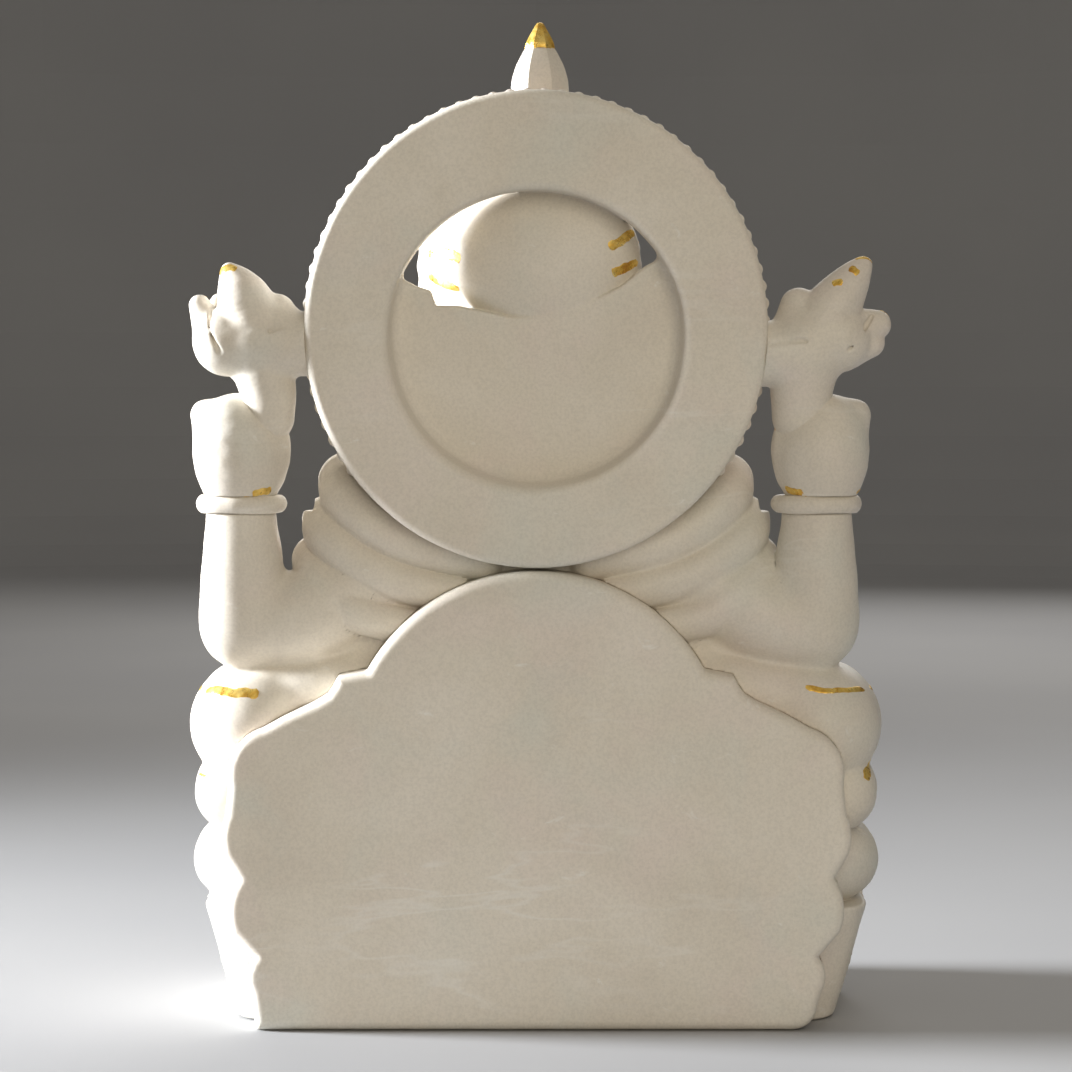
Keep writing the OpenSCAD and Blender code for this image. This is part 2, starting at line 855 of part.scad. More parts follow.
// ---- mouse ---------------------------------------------------------------------------------

// The small mouse sits on the edge of the seat, looking up, with a sweet in its paws
module mouse() sized() color(marble) difference() {
    union() {
        limb([[-52, -40, 63.5, 5.5], [-54, -44, 66, 5.2], [-55, -48, 70, 4], [-55.5, -51.5, 70.5, 2.2],
            [-55.7, -53.5, 70.3, 1.2]], 1, small_fn);
        for (side = [-1, 1]) {
            translate([-55 + side * 3, -46.5, 74]) scale([2.3, 1, 2.6]) sphere(r = 1, $fn = small_fn);
            limb([[-54 + side * 3.5, -46, 65, 1.8], [-55 + side * 1.5, -50, 64.5, 1.4]], 1, small_fn);
        }
        translate([-55.2, -51, 65]) sphere(r = 2.3, $fn = small_fn);
    }
    cushion_shape();
    right_shin_shape();
    right_side() thigh_shape();
}

// ---- the idol ------------------------------------------------------------------------------

lotus_base();
lotus_petals();
seat_cushion();
back_slab();
halo_ring();
halo_scalloped_rim();
halo_web();
torso();
belly();
left_shawl();
right_shawl();
head();
left_ear();
right_ear();
eyes();
forehead_mark();
trunk();
left_tusk();
right_tusk();
crown_band();
crown_dome();
crown_finial();
crown_gilding();
finial_gilding();
left_rear_upper_arm();
right_rear_upper_arm();
left_rear_forearm();
right_rear_forearm();
left_rear_bracelet();
right_rear_bracelet();
left_rear_hand();
right_rear_hand();
wrist_gilding();
left_lotus();
right_lotus();
lotus_gilding();
left_front_upper_arm();
right_front_upper_arm();
left_front_forearm();
right_front_forearm();
left_front_bracelet();
right_front_bracelet();
left_front_hand();
right_front_hand();
laddu_bowl();
laddus();
left_thigh();
right_thigh();
thigh_gilding();
left_shin();
right_shin();
left_foot();
right_foot();
anklets();
dhoti_lap();
belly_belt();
necklace();
mouse();
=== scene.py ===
"""Looks of the seated Ganesha idol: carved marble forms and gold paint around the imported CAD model.

The forms are carved on grids that hold the distance to the stone's surface (see Carving). Each grid point
belongs to one piece, so neighbouring pieces meet face to face and every piece is a closed mesh.
Lengths in this file are millimetres at the design height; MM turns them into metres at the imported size.
A rounded form is a path of knots [x, y, z, radius] (see limb). +X is the idol's left, -Y its front.
"""
import math

import bpy
import numpy as np
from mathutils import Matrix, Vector
from mathutils.bvhtree import BVHTree


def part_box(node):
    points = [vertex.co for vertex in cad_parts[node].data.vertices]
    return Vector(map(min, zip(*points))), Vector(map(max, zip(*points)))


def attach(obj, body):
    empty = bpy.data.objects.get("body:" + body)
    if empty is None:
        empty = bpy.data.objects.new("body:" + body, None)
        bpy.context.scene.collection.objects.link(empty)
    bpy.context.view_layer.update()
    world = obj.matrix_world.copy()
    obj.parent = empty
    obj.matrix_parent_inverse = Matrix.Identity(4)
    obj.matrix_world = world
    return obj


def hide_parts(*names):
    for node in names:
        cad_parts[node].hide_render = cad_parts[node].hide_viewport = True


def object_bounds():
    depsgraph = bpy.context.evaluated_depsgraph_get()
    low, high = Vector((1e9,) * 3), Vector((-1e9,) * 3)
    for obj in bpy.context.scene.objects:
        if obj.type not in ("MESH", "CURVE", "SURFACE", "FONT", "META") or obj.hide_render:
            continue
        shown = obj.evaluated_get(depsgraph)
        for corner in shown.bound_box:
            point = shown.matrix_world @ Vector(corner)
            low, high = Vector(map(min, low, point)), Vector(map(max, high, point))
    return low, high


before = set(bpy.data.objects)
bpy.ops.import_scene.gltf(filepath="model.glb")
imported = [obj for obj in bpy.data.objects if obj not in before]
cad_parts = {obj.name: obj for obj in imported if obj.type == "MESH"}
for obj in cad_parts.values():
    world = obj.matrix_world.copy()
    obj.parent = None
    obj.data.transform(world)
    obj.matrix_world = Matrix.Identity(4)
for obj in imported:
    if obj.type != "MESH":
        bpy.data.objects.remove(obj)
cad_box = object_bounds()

DESIGN_H = 305.0
MM = (cad_box[1].z - cad_box[0].z) / DESIGN_H
FAR = 30.0
COARSE = 1.0


def node_box(node):
    """Lowest and highest corner of a CAD node, in millimetres."""
    low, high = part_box(node)
    return np.array(low) / MM, np.array(high) / MM


SLAB_LOW, SLAB_HIGH = node_box("back_slab")
RING_LOW, RING_HIGH = node_box("halo_ring")
RIM_LOW, RIM_HIGH = node_box("halo_scalloped_rim")
WEB_LOW, WEB_HIGH = node_box("halo_web")
CUSHION_LOW, CUSHION_HIGH = node_box("seat_cushion")
BAND_LOW, BAND_HIGH = node_box("crown_band")
DOME_HIGH = node_box("crown_dome")[1]
FINIAL_LOW, FINIAL_HIGH = node_box("crown_finial")
TIP_LOW, TIP_HIGH = node_box("finial_gilding")

BACK_Y = SLAB_HIGH[1]
BASE_H = CUSHION_LOW[2]
CUSHION_TOP = CUSHION_HIGH[2]
RING_C = (RING_LOW + RING_HIGH) / 2
RING_HALF = (RING_HIGH - RING_LOW) / 2
CROWN_X = (BAND_LOW[0] + BAND_HIGH[0]) / 2 + 2.0  # the crown sits a little to the idol's left of the ring
CROWN_Y = (BAND_LOW[1] + BAND_HIGH[1]) / 2
CROWN_R = (BAND_HIGH[0] - BAND_LOW[0]) / 2 + 0.6
FINIAL_X = (FINIAL_LOW[0] + FINIAL_HIGH[0]) / 2
HOLE_Z = RING_C[2] - 3
HOLE_BACK_R = 44.5
HOLE_FRONT_R = 41.2
HOLE_TOP_R = 44.6  # the upper half of the hole is cut straight through, the lower half is flared
SLAB_EDGE_R = 3.0  # how far the edges of the plates are rounded
BASE_EDGE_R = 1.2
RING_EDGE_R = 2.2
WEB_EDGE_R = 0.8
RING_LAP = 0.25  # how far other forms run into the ring, so that no gap shows beside it
SEAT_MID_Y = 8  # where the seat's round front meets its boxy rear
BOXY, ROUND = 0.3, 0.72  # powers that square up or round off the seat's plan


# ---- shapes: each is (lowest corner, highest corner, distance function) -----------------------------

def open_grid(x, y, z):
    """Three axes laid out so that they combine into a full grid."""
    return x[:, None, None], y[None, :, None], z[None, None, :]


def rounded(flat, deep, radius):
    """Rounds a plate's edges. flat and deep are the distances to its faces, drawn in by the radius."""
    away = np.sqrt(np.maximum(flat, 0) ** 2 + np.maximum(deep, 0) ** 2)
    return (np.minimum(np.maximum(flat, deep), 0) + away - radius).astype(np.float32)


def window(axis, low, high):
    """The part of an axis that lies between two values."""
    return slice(int(np.searchsorted(axis, low)), int(np.searchsorted(axis, high, side="right")))


def smooth(knots, steps):
    """Catmull-Rom curve through knots, as rows of x, y, z, radius."""
    k = np.array(knots, float)
    ends = np.vstack([k[:1], k, k[-1:]])
    rows = []
    for i in range(len(k) - 1):
        a, b, c, d = ends[i:i + 4]
        for t in np.arange(steps) / steps:
            rows.append(0.5 * (2 * b + (c - a) * t + (2 * a - 5 * b + 4 * c - d) * t * t
                               + (3 * b - a - 3 * c + d) * t ** 3))
    return np.array(rows + [k[-1]])


def limb(knots, steps=4):
    """A round form that thickens and thins along its knots [x, y, z, radius]."""
    path = smooth(knots, steps)
    reach = path[:, 3:]

    def at(x, y, z, pad):
        out = np.full((x.size, y.size, z.size), FAR, np.float32)
        for a, b in zip(path[:-1], path[1:]):
            r = pad + max(a[3], b[3])
            low = np.minimum(a[:3], b[:3]) - r
            high = np.maximum(a[:3], b[:3]) + r
            s = tuple(window(v, low[i], high[i]) for i, v in enumerate((x, y, z)))
            px, py, pz = open_grid(*(v[s[i]] - a[i] for i, v in enumerate((x, y, z))))
            if not (px.size and py.size and pz.size):
                continue
            v = b[:3] - a[:3]
            t = np.clip((px * v[0] + py * v[1] + pz * v[2]) / max(v @ v, 1e-9), 0, 1)
            d = np.sqrt((px - t * v[0]) ** 2 + (py - t * v[1]) ** 2 + (pz - t * v[2]) ** 2)
            d -= a[3] + t * (b[3] - a[3])
            np.minimum(out[s], d, out=out[s])
        return out

    return (path[:, :3] - reach).min(0), (path[:, :3] + reach).max(0), at


def turned(turn):
    """Rotation matrix for turns about X, Y and Z in degrees, applied in that order."""
    cx, cy, cz = np.cos(np.radians(turn))
    sx, sy, sz = np.sin(np.radians(turn))
    rx = np.array([[1, 0, 0], [0, cx, -sx], [0, sx, cx]])
    ry = np.array([[cy, 0, sy], [0, 1, 0], [-sy, 0, cy]])
    rz = np.array([[cz, -sz, 0], [sz, cz, 0], [0, 0, 1]])
    return rz @ ry @ rx


def blob(centre, radii, turn=(0, 0, 0)):
    """An ellipsoid."""
    c = np.array(centre, float)
    r = np.array(radii, float)
    m = turned(turn)
    half = np.sqrt(((m * r) ** 2).sum(1))

    def at(x, y, z, pad):
        p = open_grid(x - c[0], y - c[1], z - c[2])
        q = [sum(m[j, i] * p[j] for j in range(3)) / r[i] for i in range(3)]
        k0 = np.sqrt(q[0] ** 2 + q[1] ** 2 + q[2] ** 2)
        k1 = np.sqrt((q[0] / r[0]) ** 2 + (q[1] / r[1]) ** 2 + (q[2] / r[2]) ** 2)
        return (k0 * (k0 - 1) / np.maximum(k1, 1e-6)).astype(np.float32)

    return c - half, c + half, at


def hoop(centre, axis, ring_r, bar_r):
    """A ring of round bar about an axis."""
    c = np.array(centre, float)
    n = np.array(axis, float) / np.linalg.norm(axis)
    half = ring_r * np.sqrt(np.maximum(0, 1 - n ** 2)) + bar_r

    def at(x, y, z, pad):
        p = open_grid(x - c[0], y - c[1], z - c[2])
        h = sum(n[i] * p[i] for i in range(3))
        out = np.sqrt(np.maximum(0, p[0] ** 2 + p[1] ** 2 + p[2] ** 2 - h ** 2))
        return (np.sqrt((out - ring_r) ** 2 + h ** 2) - bar_r).astype(np.float32)

    return c - half, c + half, at


def mirrored(shape):
    """The same shape on the idol's other side."""
    low, high, at = shape

    def other(x, y, z, pad):
        return at(-x[::-1], y, z, pad)[::-1]

    return np.array([-high[0], low[1], low[2]]), np.array([-low[0], high[1], high[2]]), other


def outline_distance(points, u, v):
    """Signed distance to a closed outline, negative inside, on the grid of u by v."""
    pu, pv = u[:, None], v[None, :]
    best = np.full((u.size, v.size), 1e9)
    inside = np.zeros((u.size, v.size), bool)
    p = np.array(points, float)
    for a, b in zip(p, np.roll(p, -1, axis=0)):
        e = b - a
        wu, wv = pu - a[0], pv - a[1]
        t = np.clip((wu * e[0] + wv * e[1]) / max(e @ e, 1e-9), 0, 1)
        best = np.minimum(best, (wu - t * e[0]) ** 2 + (wv - t * e[1]) ** 2)
        if abs(e[1]) > 1e-9:
            crosses = ((a[1] <= pv) & (pv < b[1])) | ((b[1] <= pv) & (pv < a[1]))
            inside ^= crosses & (pu < a[0] + (pv - a[1]) * e[0] / e[1])
    return (np.sqrt(best) * np.where(inside, -1, 1)).astype(np.float32)


# ---- outlines ---------------------------------------------------------------------------------------

def arc(cx, cz, r, a0, a1, n):
    """Points (x, z) of an arc from angle a0 to a1, in degrees from +X."""
    t = np.radians(np.linspace(a0, a1, n + 1))
    return [(cx + r * math.cos(a), cz + r * math.sin(a)) for a in t]


def slab_half(foot_round):
    """Right half of the back slab, from the foot to the middle of its domed top."""
    foot = [(84, 0), (84.6, 3)]
    if foot_round > 1:
        foot = arc(84.6 - foot_round, foot_round, foot_round, -90, 0, 6)
    return (foot + arc(78, 16, 9, -30, 42, 8) + arc(75, 36, 17.5, -22, 34, 9) + arc(77, 58, 17.5, -16, 24, 7)
            + arc(78, 77, 14.5, -12, 74, 12)
            + [(76, 94.2), (71.5, 96.3), (66.5, 98.6), (62.6, 101), (60.8, 103.6), (59.3, 106.5)]
            + arc(0, 80, 58, 29, 88, 16))


def slab_outline():
    """The sawn foot is sharp at the idol's left (+X) and knocked round at its right."""
    left = slab_half(0.5)
    right = slab_half(7.5)
    return left + [(-x, z) for x, z in reversed(right)]


def seat_plan(hw, front, rear, n=120):
    """Plan of the seat: boxy at the back, round at the front."""
    rows = []
    for t in np.linspace(0, 2 * math.pi, n, endpoint=False):
        c, s = math.cos(t), math.sin(t)
        e = BOXY if s > 0 else ROUND
        depth = rear - SEAT_MID_Y if s > 0 else SEAT_MID_Y - front
        rows.append((hw * math.copysign(abs(c) ** e, c), SEAT_MID_Y + depth * math.copysign(abs(s) ** e, s)))
    return rows


SLAB_OUTLINE = slab_outline()


def slab_shape():
    """The back slab: its outline drawn through its thickness, with rounded edges."""
    half = (BACK_Y - SLAB_LOW[1]) / 2
    mid = BACK_Y - half
    x_max = SLAB_HIGH[0] + 1

    def at(x, y, z, pad):
        flat = outline_distance(SLAB_OUTLINE, x, z)[:, None, :] + SLAB_EDGE_R
        return rounded(flat, (np.abs(y - mid) - half + SLAB_EDGE_R)[None, :, None], SLAB_EDGE_R)

    return np.array([-x_max, SLAB_LOW[1], 0]), np.array([x_max, BACK_Y, SLAB_HIGH[2]]), at


def cushion_shape():
    """The seat cushion: a flat roll with a half-round side."""
    hw = CUSHION_HIGH[0]
    r = (CUSHION_TOP - BASE_H) / 2
    mid = (CUSHION_TOP + BASE_H) / 2
    front, rear = CUSHION_LOW[1], 46

    def at(x, y, z, pad):
        flat = outline_distance(seat_plan(hw - r, front + r, rear - r), x, y)[:, :, None]
        up = (z - mid)[None, None, :]
        return (np.sqrt(np.maximum(flat, 0) ** 2 + up ** 2) - r).astype(np.float32)

    return np.array([-hw, front, BASE_H]), np.array([hw, rear, CUSHION_TOP]), at


def base_shape():
    """The lotus base, wider at its top than at the floor."""
    def at(x, y, z, pad):
        foot = outline_distance(seat_plan(92, -49, 44), x, y)[:, :, None]
        top = outline_distance(seat_plan(102, -54, 46), x, y)[:, :, None]
        t = np.clip(z / BASE_H, 0, 1)[None, None, :]
        side = foot * (1 - t) + top * t + BASE_EDGE_R
        return rounded(side, (np.abs(z - BASE_H / 2) - BASE_H / 2 + BASE_EDGE_R)[None, None, :], BASE_EDGE_R)

    return np.array([-103, -55, 0]), np.array([103, 47, BASE_H]), at


def ring_shape():
    """The halo ring with its scalloped rim, as a disc that other forms stop at."""
    rx, rz = RING_HALF[0] - RING_LAP, RING_HALF[2] - RING_LAP

    def at(x, y, z, pad):
        u = ((x - RING_C[0]) / rx)[:, None, None]
        w = ((z - RING_C[2]) / rz)[None, None, :]
        side = (np.sqrt(u ** 2 + w ** 2) - 1) * (rx + rz) / 2
        front = (RIM_LOW[1] - y)[None, :, None]
        return np.maximum(side, front).astype(np.float32)

    return np.array([-rx, RIM_LOW[1], RING_C[2] - rz]), np.array([rx, BACK_Y + 5, RING_C[2] + rz]), at


CROWN_PROFILE = np.array([
    (BAND_LOW[2] - 1, CROWN_R - 4), (BAND_LOW[2] + 1, CROWN_R - 3), (223, CROWN_R - 0.4), (227, CROWN_R),
    (233, CROWN_R), (236.6, CROWN_R - 0.5), (240, 32.4), (244, 30.6), (249, 27.2), (253, 23), (257, 19.2),
    (262, 16.2), (268, 14.2), (275, 12), (281, 9.4), (284, 9)])  # (height, radius)


def crown_shape(grow=0.0):
    """Crown: round band, fluted dome leaning to the finial, and the full round of its back in the hole."""
    bulge = blob((-4, 37, 231), (27.5, 11.5, 23.2), (0, 6, 0))
    lean_from, lean_to, flutes_from, flutes_full = 246, 281, 237, 244

    def at(x, y, z, pad):
        dx = x[:, None, None] - np.interp(z, [lean_from, lean_to], [CROWN_X, FINIAL_X])[None, None, :]
        dy = (y - CROWN_Y)[None, :, None]
        r = np.sqrt(dx ** 2 + dy ** 2)
        height = z[None, None, :]
        flutes = np.clip((height - flutes_from) / (flutes_full - flutes_from), 0, 1)
        flutes = flutes * np.clip((283 - height) / 12, 0, 1) * 1.5
        front = np.clip(-dy / np.maximum(r, 1e-3), 0, 1) ** 1.5
        dip = flutes * front * (0.5 + 0.5 * np.cos(14 * np.arctan2(dy, dx)))
        rolls = 0.3 * np.cos((height - 223) * 0.9) * (height < 236)
        rolls = rolls * np.clip((20 - y) / 10, 0, 1)[None, :, None]
        radius = np.interp(z, CROWN_PROFILE[:, 0], CROWN_PROFILE[:, 1]) + grow
        side = r - radius[None, None, :] + dip - rolls
        body = np.maximum(side, BAND_LOW[2] - height)
        return smooth_min(body, bulge[2](x, y, z, pad) - grow, 4).astype(np.float32)

    reach = CROWN_R + grow + 2
    return (np.array([CROWN_X - reach, CROWN_Y - reach, 208]),
            np.array([CROWN_X + reach, CROWN_Y + reach + 4, 284]), at)


# ---- carving on a grid ------------------------------------------------------------------------------

def smooth_min(a, b, k):
    """The smaller of two distances, with a fillet of width k where they meet."""
    if k <= 0:
        return np.minimum(a, b)
    h = np.maximum(k - np.abs(a - b), 0) / k
    return np.minimum(a, b) - h * h * (k / 4)


class Carving:
    """A block of stone. dist is the distance to its surface and owner the piece each grid point is in."""

    def __init__(self, low, high, step):
        self.step = step * COARSE
        self.axes = [np.arange(low[i] - 3 * self.step, high[i] + 4 * self.step, self.step) for i in range(3)]
        shape = tuple(a.size for a in self.axes)
        self.dist = np.full(shape, FAR, np.float32)
        self.near = np.full(shape, FAR, np.float32)
        self.owner = np.zeros(shape, np.int16)
        self.names = [None]

    def _block(self, shape, pad):
        low, high, at = shape
        s = tuple(window(self.axes[i], low[i] - pad, high[i] + pad) for i in range(3))
        return s, at(*(self.axes[i][s[i]] for i in range(3)), pad)

    def add(self, name, shape, blend=1.5, first=0.0):
        """Adds a form to a piece. first gives the piece that much precedence over its neighbours."""
        if name not in self.names:
            self.names.append(name)
        s, new = self._block(shape, blend + 3 * self.step)
        mine = new - first < self.near[s]
        self.near[s][mine] = (new - first)[mine]
        self.owner[s][mine] = self.names.index(name)
        self.dist[s] = smooth_min(self.dist[s], new, blend)

    def carve(self, shape, blend=0.8):
        """Takes a form away from the stone, with softened edges."""
        s, new = self._block(shape, blend + 3 * self.step)
        self.dist[s] = -smooth_min(-self.dist[s], new, blend)

    def stop_at(self, shape):
        """Ends the stone where another form begins."""
        s, new = self._block(shape, 3 * self.step)
        self.dist[s] = np.maximum(self.dist[s], -new)

    def stop_plane(self, axis, value, side):
        """Ends the stone at a plane; side is 1 to take away what is above it, -1 below."""
        shape = [1, 1, 1]
        shape[axis] = -1
        past = (self.axes[axis] - value) * side
        self.dist = np.maximum(self.dist, past.reshape(shape).astype(np.float32))

    def name_below(self, name, lower, height):
        """Gives the part of a piece below a height a name of its own."""
        self.names.append(lower)
        part = self.owner[:, :, :int(np.searchsorted(self.axes[2], height))]
        part[part == self.names.index(name)] = len(self.names) - 1

    def pleat(self, names, phase, depth, fade):
        """Cloth pleats: the surface sinks along the lines where phase(x, y, z) is whole."""
        x, y, z = open_grid(*self.axes)
        mine = np.isin(self.owner, [self.names.index(n) for n in names])
        fold = np.abs(np.sin(math.pi * phase(x, y, z))) ** 0.7
        self.dist += np.where(mine, depth * (1 - fold) * np.clip(fade(x, y, z), 0, 1), 0).astype(np.float32)

    def hand_cut(self, depth, wave, phase):
        """The slight unevenness of hand carving."""
        x, y, z = (2 * math.pi * a / wave for a in self.axes)
        swell = (np.sin(x + phase)[:, None, None] * np.sin(1.3 * y - phase)[None, :, None]
                 * np.cos(0.9 * z + 2 * phase)[None, None, :])
        fine = (np.sin(2.7 * x + 1)[:, None, None] * np.cos(2.3 * y + 2 * phase)[None, :, None]
                * np.sin(2.9 * z - phase)[None, None, :])
        self.dist += (depth * (swell + 0.45 * fine)).astype(np.float32)

    def pieces(self):
        """The stone as closed surfaces, one per piece: {name: (points, quads, normals)}."""
        owner = np.where(self.dist < 0, self.owner, 0).astype(np.int16)
        for axis in range(3):
            for end in (0, -1):
                side = [slice(None)] * 3
                side[axis] = end
                owner[tuple(side)] = 0
        n = owner.shape
        cells = tuple(v - 1 for v in n)
        corners = [(i, j, k) for i in (0, 1) for j in (0, 1) for k in (0, 1)]

        def corner(a, c):
            return a[c[0]:n[0] - 1 + c[0], c[1]:n[1] - 1 + c[1], c[2]:n[2] - 1 + c[2]]

        first = corner(owner, (0, 0, 0))
        active = np.zeros(cells, bool)
        for c in corners[1:]:
            active |= corner(owner, c) != first
        at = np.flatnonzero(active.ravel())
        cell = np.array(np.unravel_index(at, cells)).T
        d = np.stack([corner(self.dist, c)[active] for c in corners], 1).astype(np.float64)
        who = np.stack([corner(owner, c)[active] for c in corners], 1)
        sums = {True: np.zeros((len(at), 3)), False: np.zeros((len(at), 3))}
        counts = {True: np.zeros(len(at)), False: np.zeros(len(at))}
        for a in range(8):
            for b in range(a + 1, 8):
                ca, cb = np.array(corners[a]), np.array(corners[b])
                if np.abs(ca - cb).sum() != 1:
                    continue
                wa, wb = who[:, a], who[:, b]
                outer = (wa == 0) != (wb == 0)
                span = d[:, a] - d[:, b]
                t = np.where(outer & (np.abs(span) > 1e-9), d[:, a] / np.where(span == 0, 1, span), 0.5)
                t = np.clip(t, 0.02, 0.98)[:, None]
                point = ca + (cb - ca) * t
                for kind, mask in ((True, outer), (False, (wa != wb) & ~outer)):
                    sums[kind] += point * mask[:, None]
                    counts[kind] += mask
        outer = counts[True] > 0
        local = np.where(outer[:, None], sums[True] / np.maximum(counts[True], 1)[:, None],
                         sums[False] / np.maximum(counts[False], 1)[:, None])
        local, normals = self._settle(local, d, corners, outer)
        points = np.stack([self.axes[i][0] + (cell[:, i] + local[:, i]) * self.step for i in range(3)], 1)
        number = np.full(cells, -1, np.int64)
        number.ravel()[at] = np.arange(len(at))
        quads, owners = [], []
        for axis in range(3):
            u, v = [(1, 2), (2, 0), (0, 1)][axis]
            below = [slice(1, -1)] * 3
            above = [slice(1, -1)] * 3
            below[axis] = slice(0, -1)
            above[axis] = slice(1, None)
            p, q = owner[tuple(below)], owner[tuple(above)]
            where = np.nonzero(p != q)
            base = np.array(where).T
            base[:, u] += 1
            base[:, v] += 1
            around = []
            for du, dv in ((0, 0), (-1, 0), (-1, -1), (0, -1)):
                c = base.copy()
                c[:, u] += du
                c[:, v] += dv
                around.append(number[c[:, 0], c[:, 1], c[:, 2]])
            around = np.stack(around, 1)
            lo_owner, hi_owner = p[where], q[where]
            for who_owns, ring in ((lo_owner, around), (hi_owner, around[:, ::-1])):
                keep = who_owns != 0
                quads.append(ring[keep])
                owners.append(who_owns[keep])
        quads, owners = np.vstack(quads), np.concatenate(owners)
        result = {}
        for i, name in enumerate(self.names):
            mine = owners == i
            if name is None or not mine.any():
                continue
            used, renumbered = np.unique(quads[mine], return_inverse=True)
            result[name] = (points[used], renumbered.reshape(-1, 4), normals[used])
        return result

    def _settle(self, local, d, corners, outer):
        """Moves each surface point onto the surface along the slope of the distance; gives the slope too."""
        value, slope = self._slope(local, d, corners)
        step = value / np.maximum((slope ** 2).sum(1), 1e-6)
        moved = np.where(outer[:, None], np.clip(local - slope * step[:, None], 0.01, 0.99), local)
        slope = self._slope(moved, d, corners)[1]
        return moved, slope / np.maximum(np.linalg.norm(slope, axis=1), 1e-6)[:, None]

    @staticmethod
    def _slope(f, d, corners):
        value, slope = np.zeros(len(f)), np.zeros_like(f)
        for i, c in enumerate(corners):
            w = [f[:, k] if c[k] else 1 - f[:, k] for k in range(3)]
            value += d[:, i] * w[0] * w[1] * w[2]
            for k in range(3):
                slope[:, k] += d[:, i] * w[(k + 1) % 3] * w[(k + 2) % 3] * (1 if c[k] else -1)
        return value, slope


# ---- meshes -----------------------------------------------------------------------------------------

MADE = {}


def make_mesh(name, points, faces, normals=None):
    """A Blender object from points in millimetres and quads (an array) or any faces (a list)."""
    mesh = bpy.data.meshes.new(name)
    points = np.asarray(points, float) * MM
    if isinstance(faces, np.ndarray):
        mesh.vertices.add(len(points))
        mesh.vertices.foreach_set("co", points.astype(np.float32).ravel())
        mesh.loops.add(faces.size)
        mesh.loops.foreach_set("vertex_index", faces.astype(np.int32).ravel())
        mesh.polygons.add(len(faces))
        mesh.polygons.foreach_set("loop_start", np.arange(0, faces.size, 4, dtype=np.int32))
        mesh.update(calc_edges=True)
    else:
        mesh.from_pydata(points.tolist(), [], faces)
    if normals is not None:
        mesh.normals_split_custom_set_from_vertices(normals.tolist())
    obj = bpy.data.objects.new(name, mesh)
    bpy.context.scene.collection.objects.link(obj)
    return obj


def make_piece(name, node, material, slot, points, faces, normals=None):
    """A piece that stands for a CAD node."""
    obj = make_mesh(name, points, faces, normals)
    obj.data.materials.append(material)
    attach(obj, "root")
    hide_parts(node)
    MADE[name] = obj


def make_marble(node, points, faces):
    make_piece(node + "_carving", node, MARBLE, "marble", points, faces)


def carve_out(carving, sawn=()):
    """Makes the pieces of a carving; each stands for the CAD node of its own name."""
    for name, surface in carving.pieces().items():
        make_piece(name + "_carving", name, SAWN if name in sawn else MARBLE, "marble", *surface)


def loft(rings, closed_ends=True):
    """Skin over rings that all have the same number of points: (points, faces)."""
    n = len(rings[0])
    points = [p for ring in rings for p in ring]
    faces = []
    for i in range(len(rings) - 1):
        for j in range(n):
            k = (j + 1) % n
            faces.append((i * n + j, i * n + k, (i + 1) * n + k, (i + 1) * n + j))
    if closed_ends:
        for ring_at, turn in ((0, -1), (len(rings) - 1, 1)):
            centre = len(points)
            points.append(np.mean(np.array(rings[ring_at]), axis=0))
            for j in range(n):
                a, b = ring_at * n + j, ring_at * n + (j + 1) % n
                faces.append((a, b, centre) if turn > 0 else (b, a, centre))
    return points, faces


def loop_skin(sections):
    """Skin over closed sections set round a loop, as for a ring: (points, faces)."""
    m, n = len(sections), len(sections[0])
    points = [p for s in sections for p in s]
    faces = []
    for i in range(m):
        for j in range(n):
            a, b = i * n, ((i + 1) % m) * n
            k = (j + 1) % n
            faces.append((a + j, b + j, b + k, a + k))
    return points, faces


def ripple(*phases):
    """A smooth value from -1 to 1 that looks irregular along its phases."""
    p = np.array(phases, float)
    return float(np.sin(p * 1.0 + 0.7).mean() * 0.5 + np.sin(p * 2.37 + 1.9).mean() * 0.3
                 + np.sin(p * 5.11 + 4.1).mean() * 0.2)


# ---- materials --------------------------------------------------------------------------------------

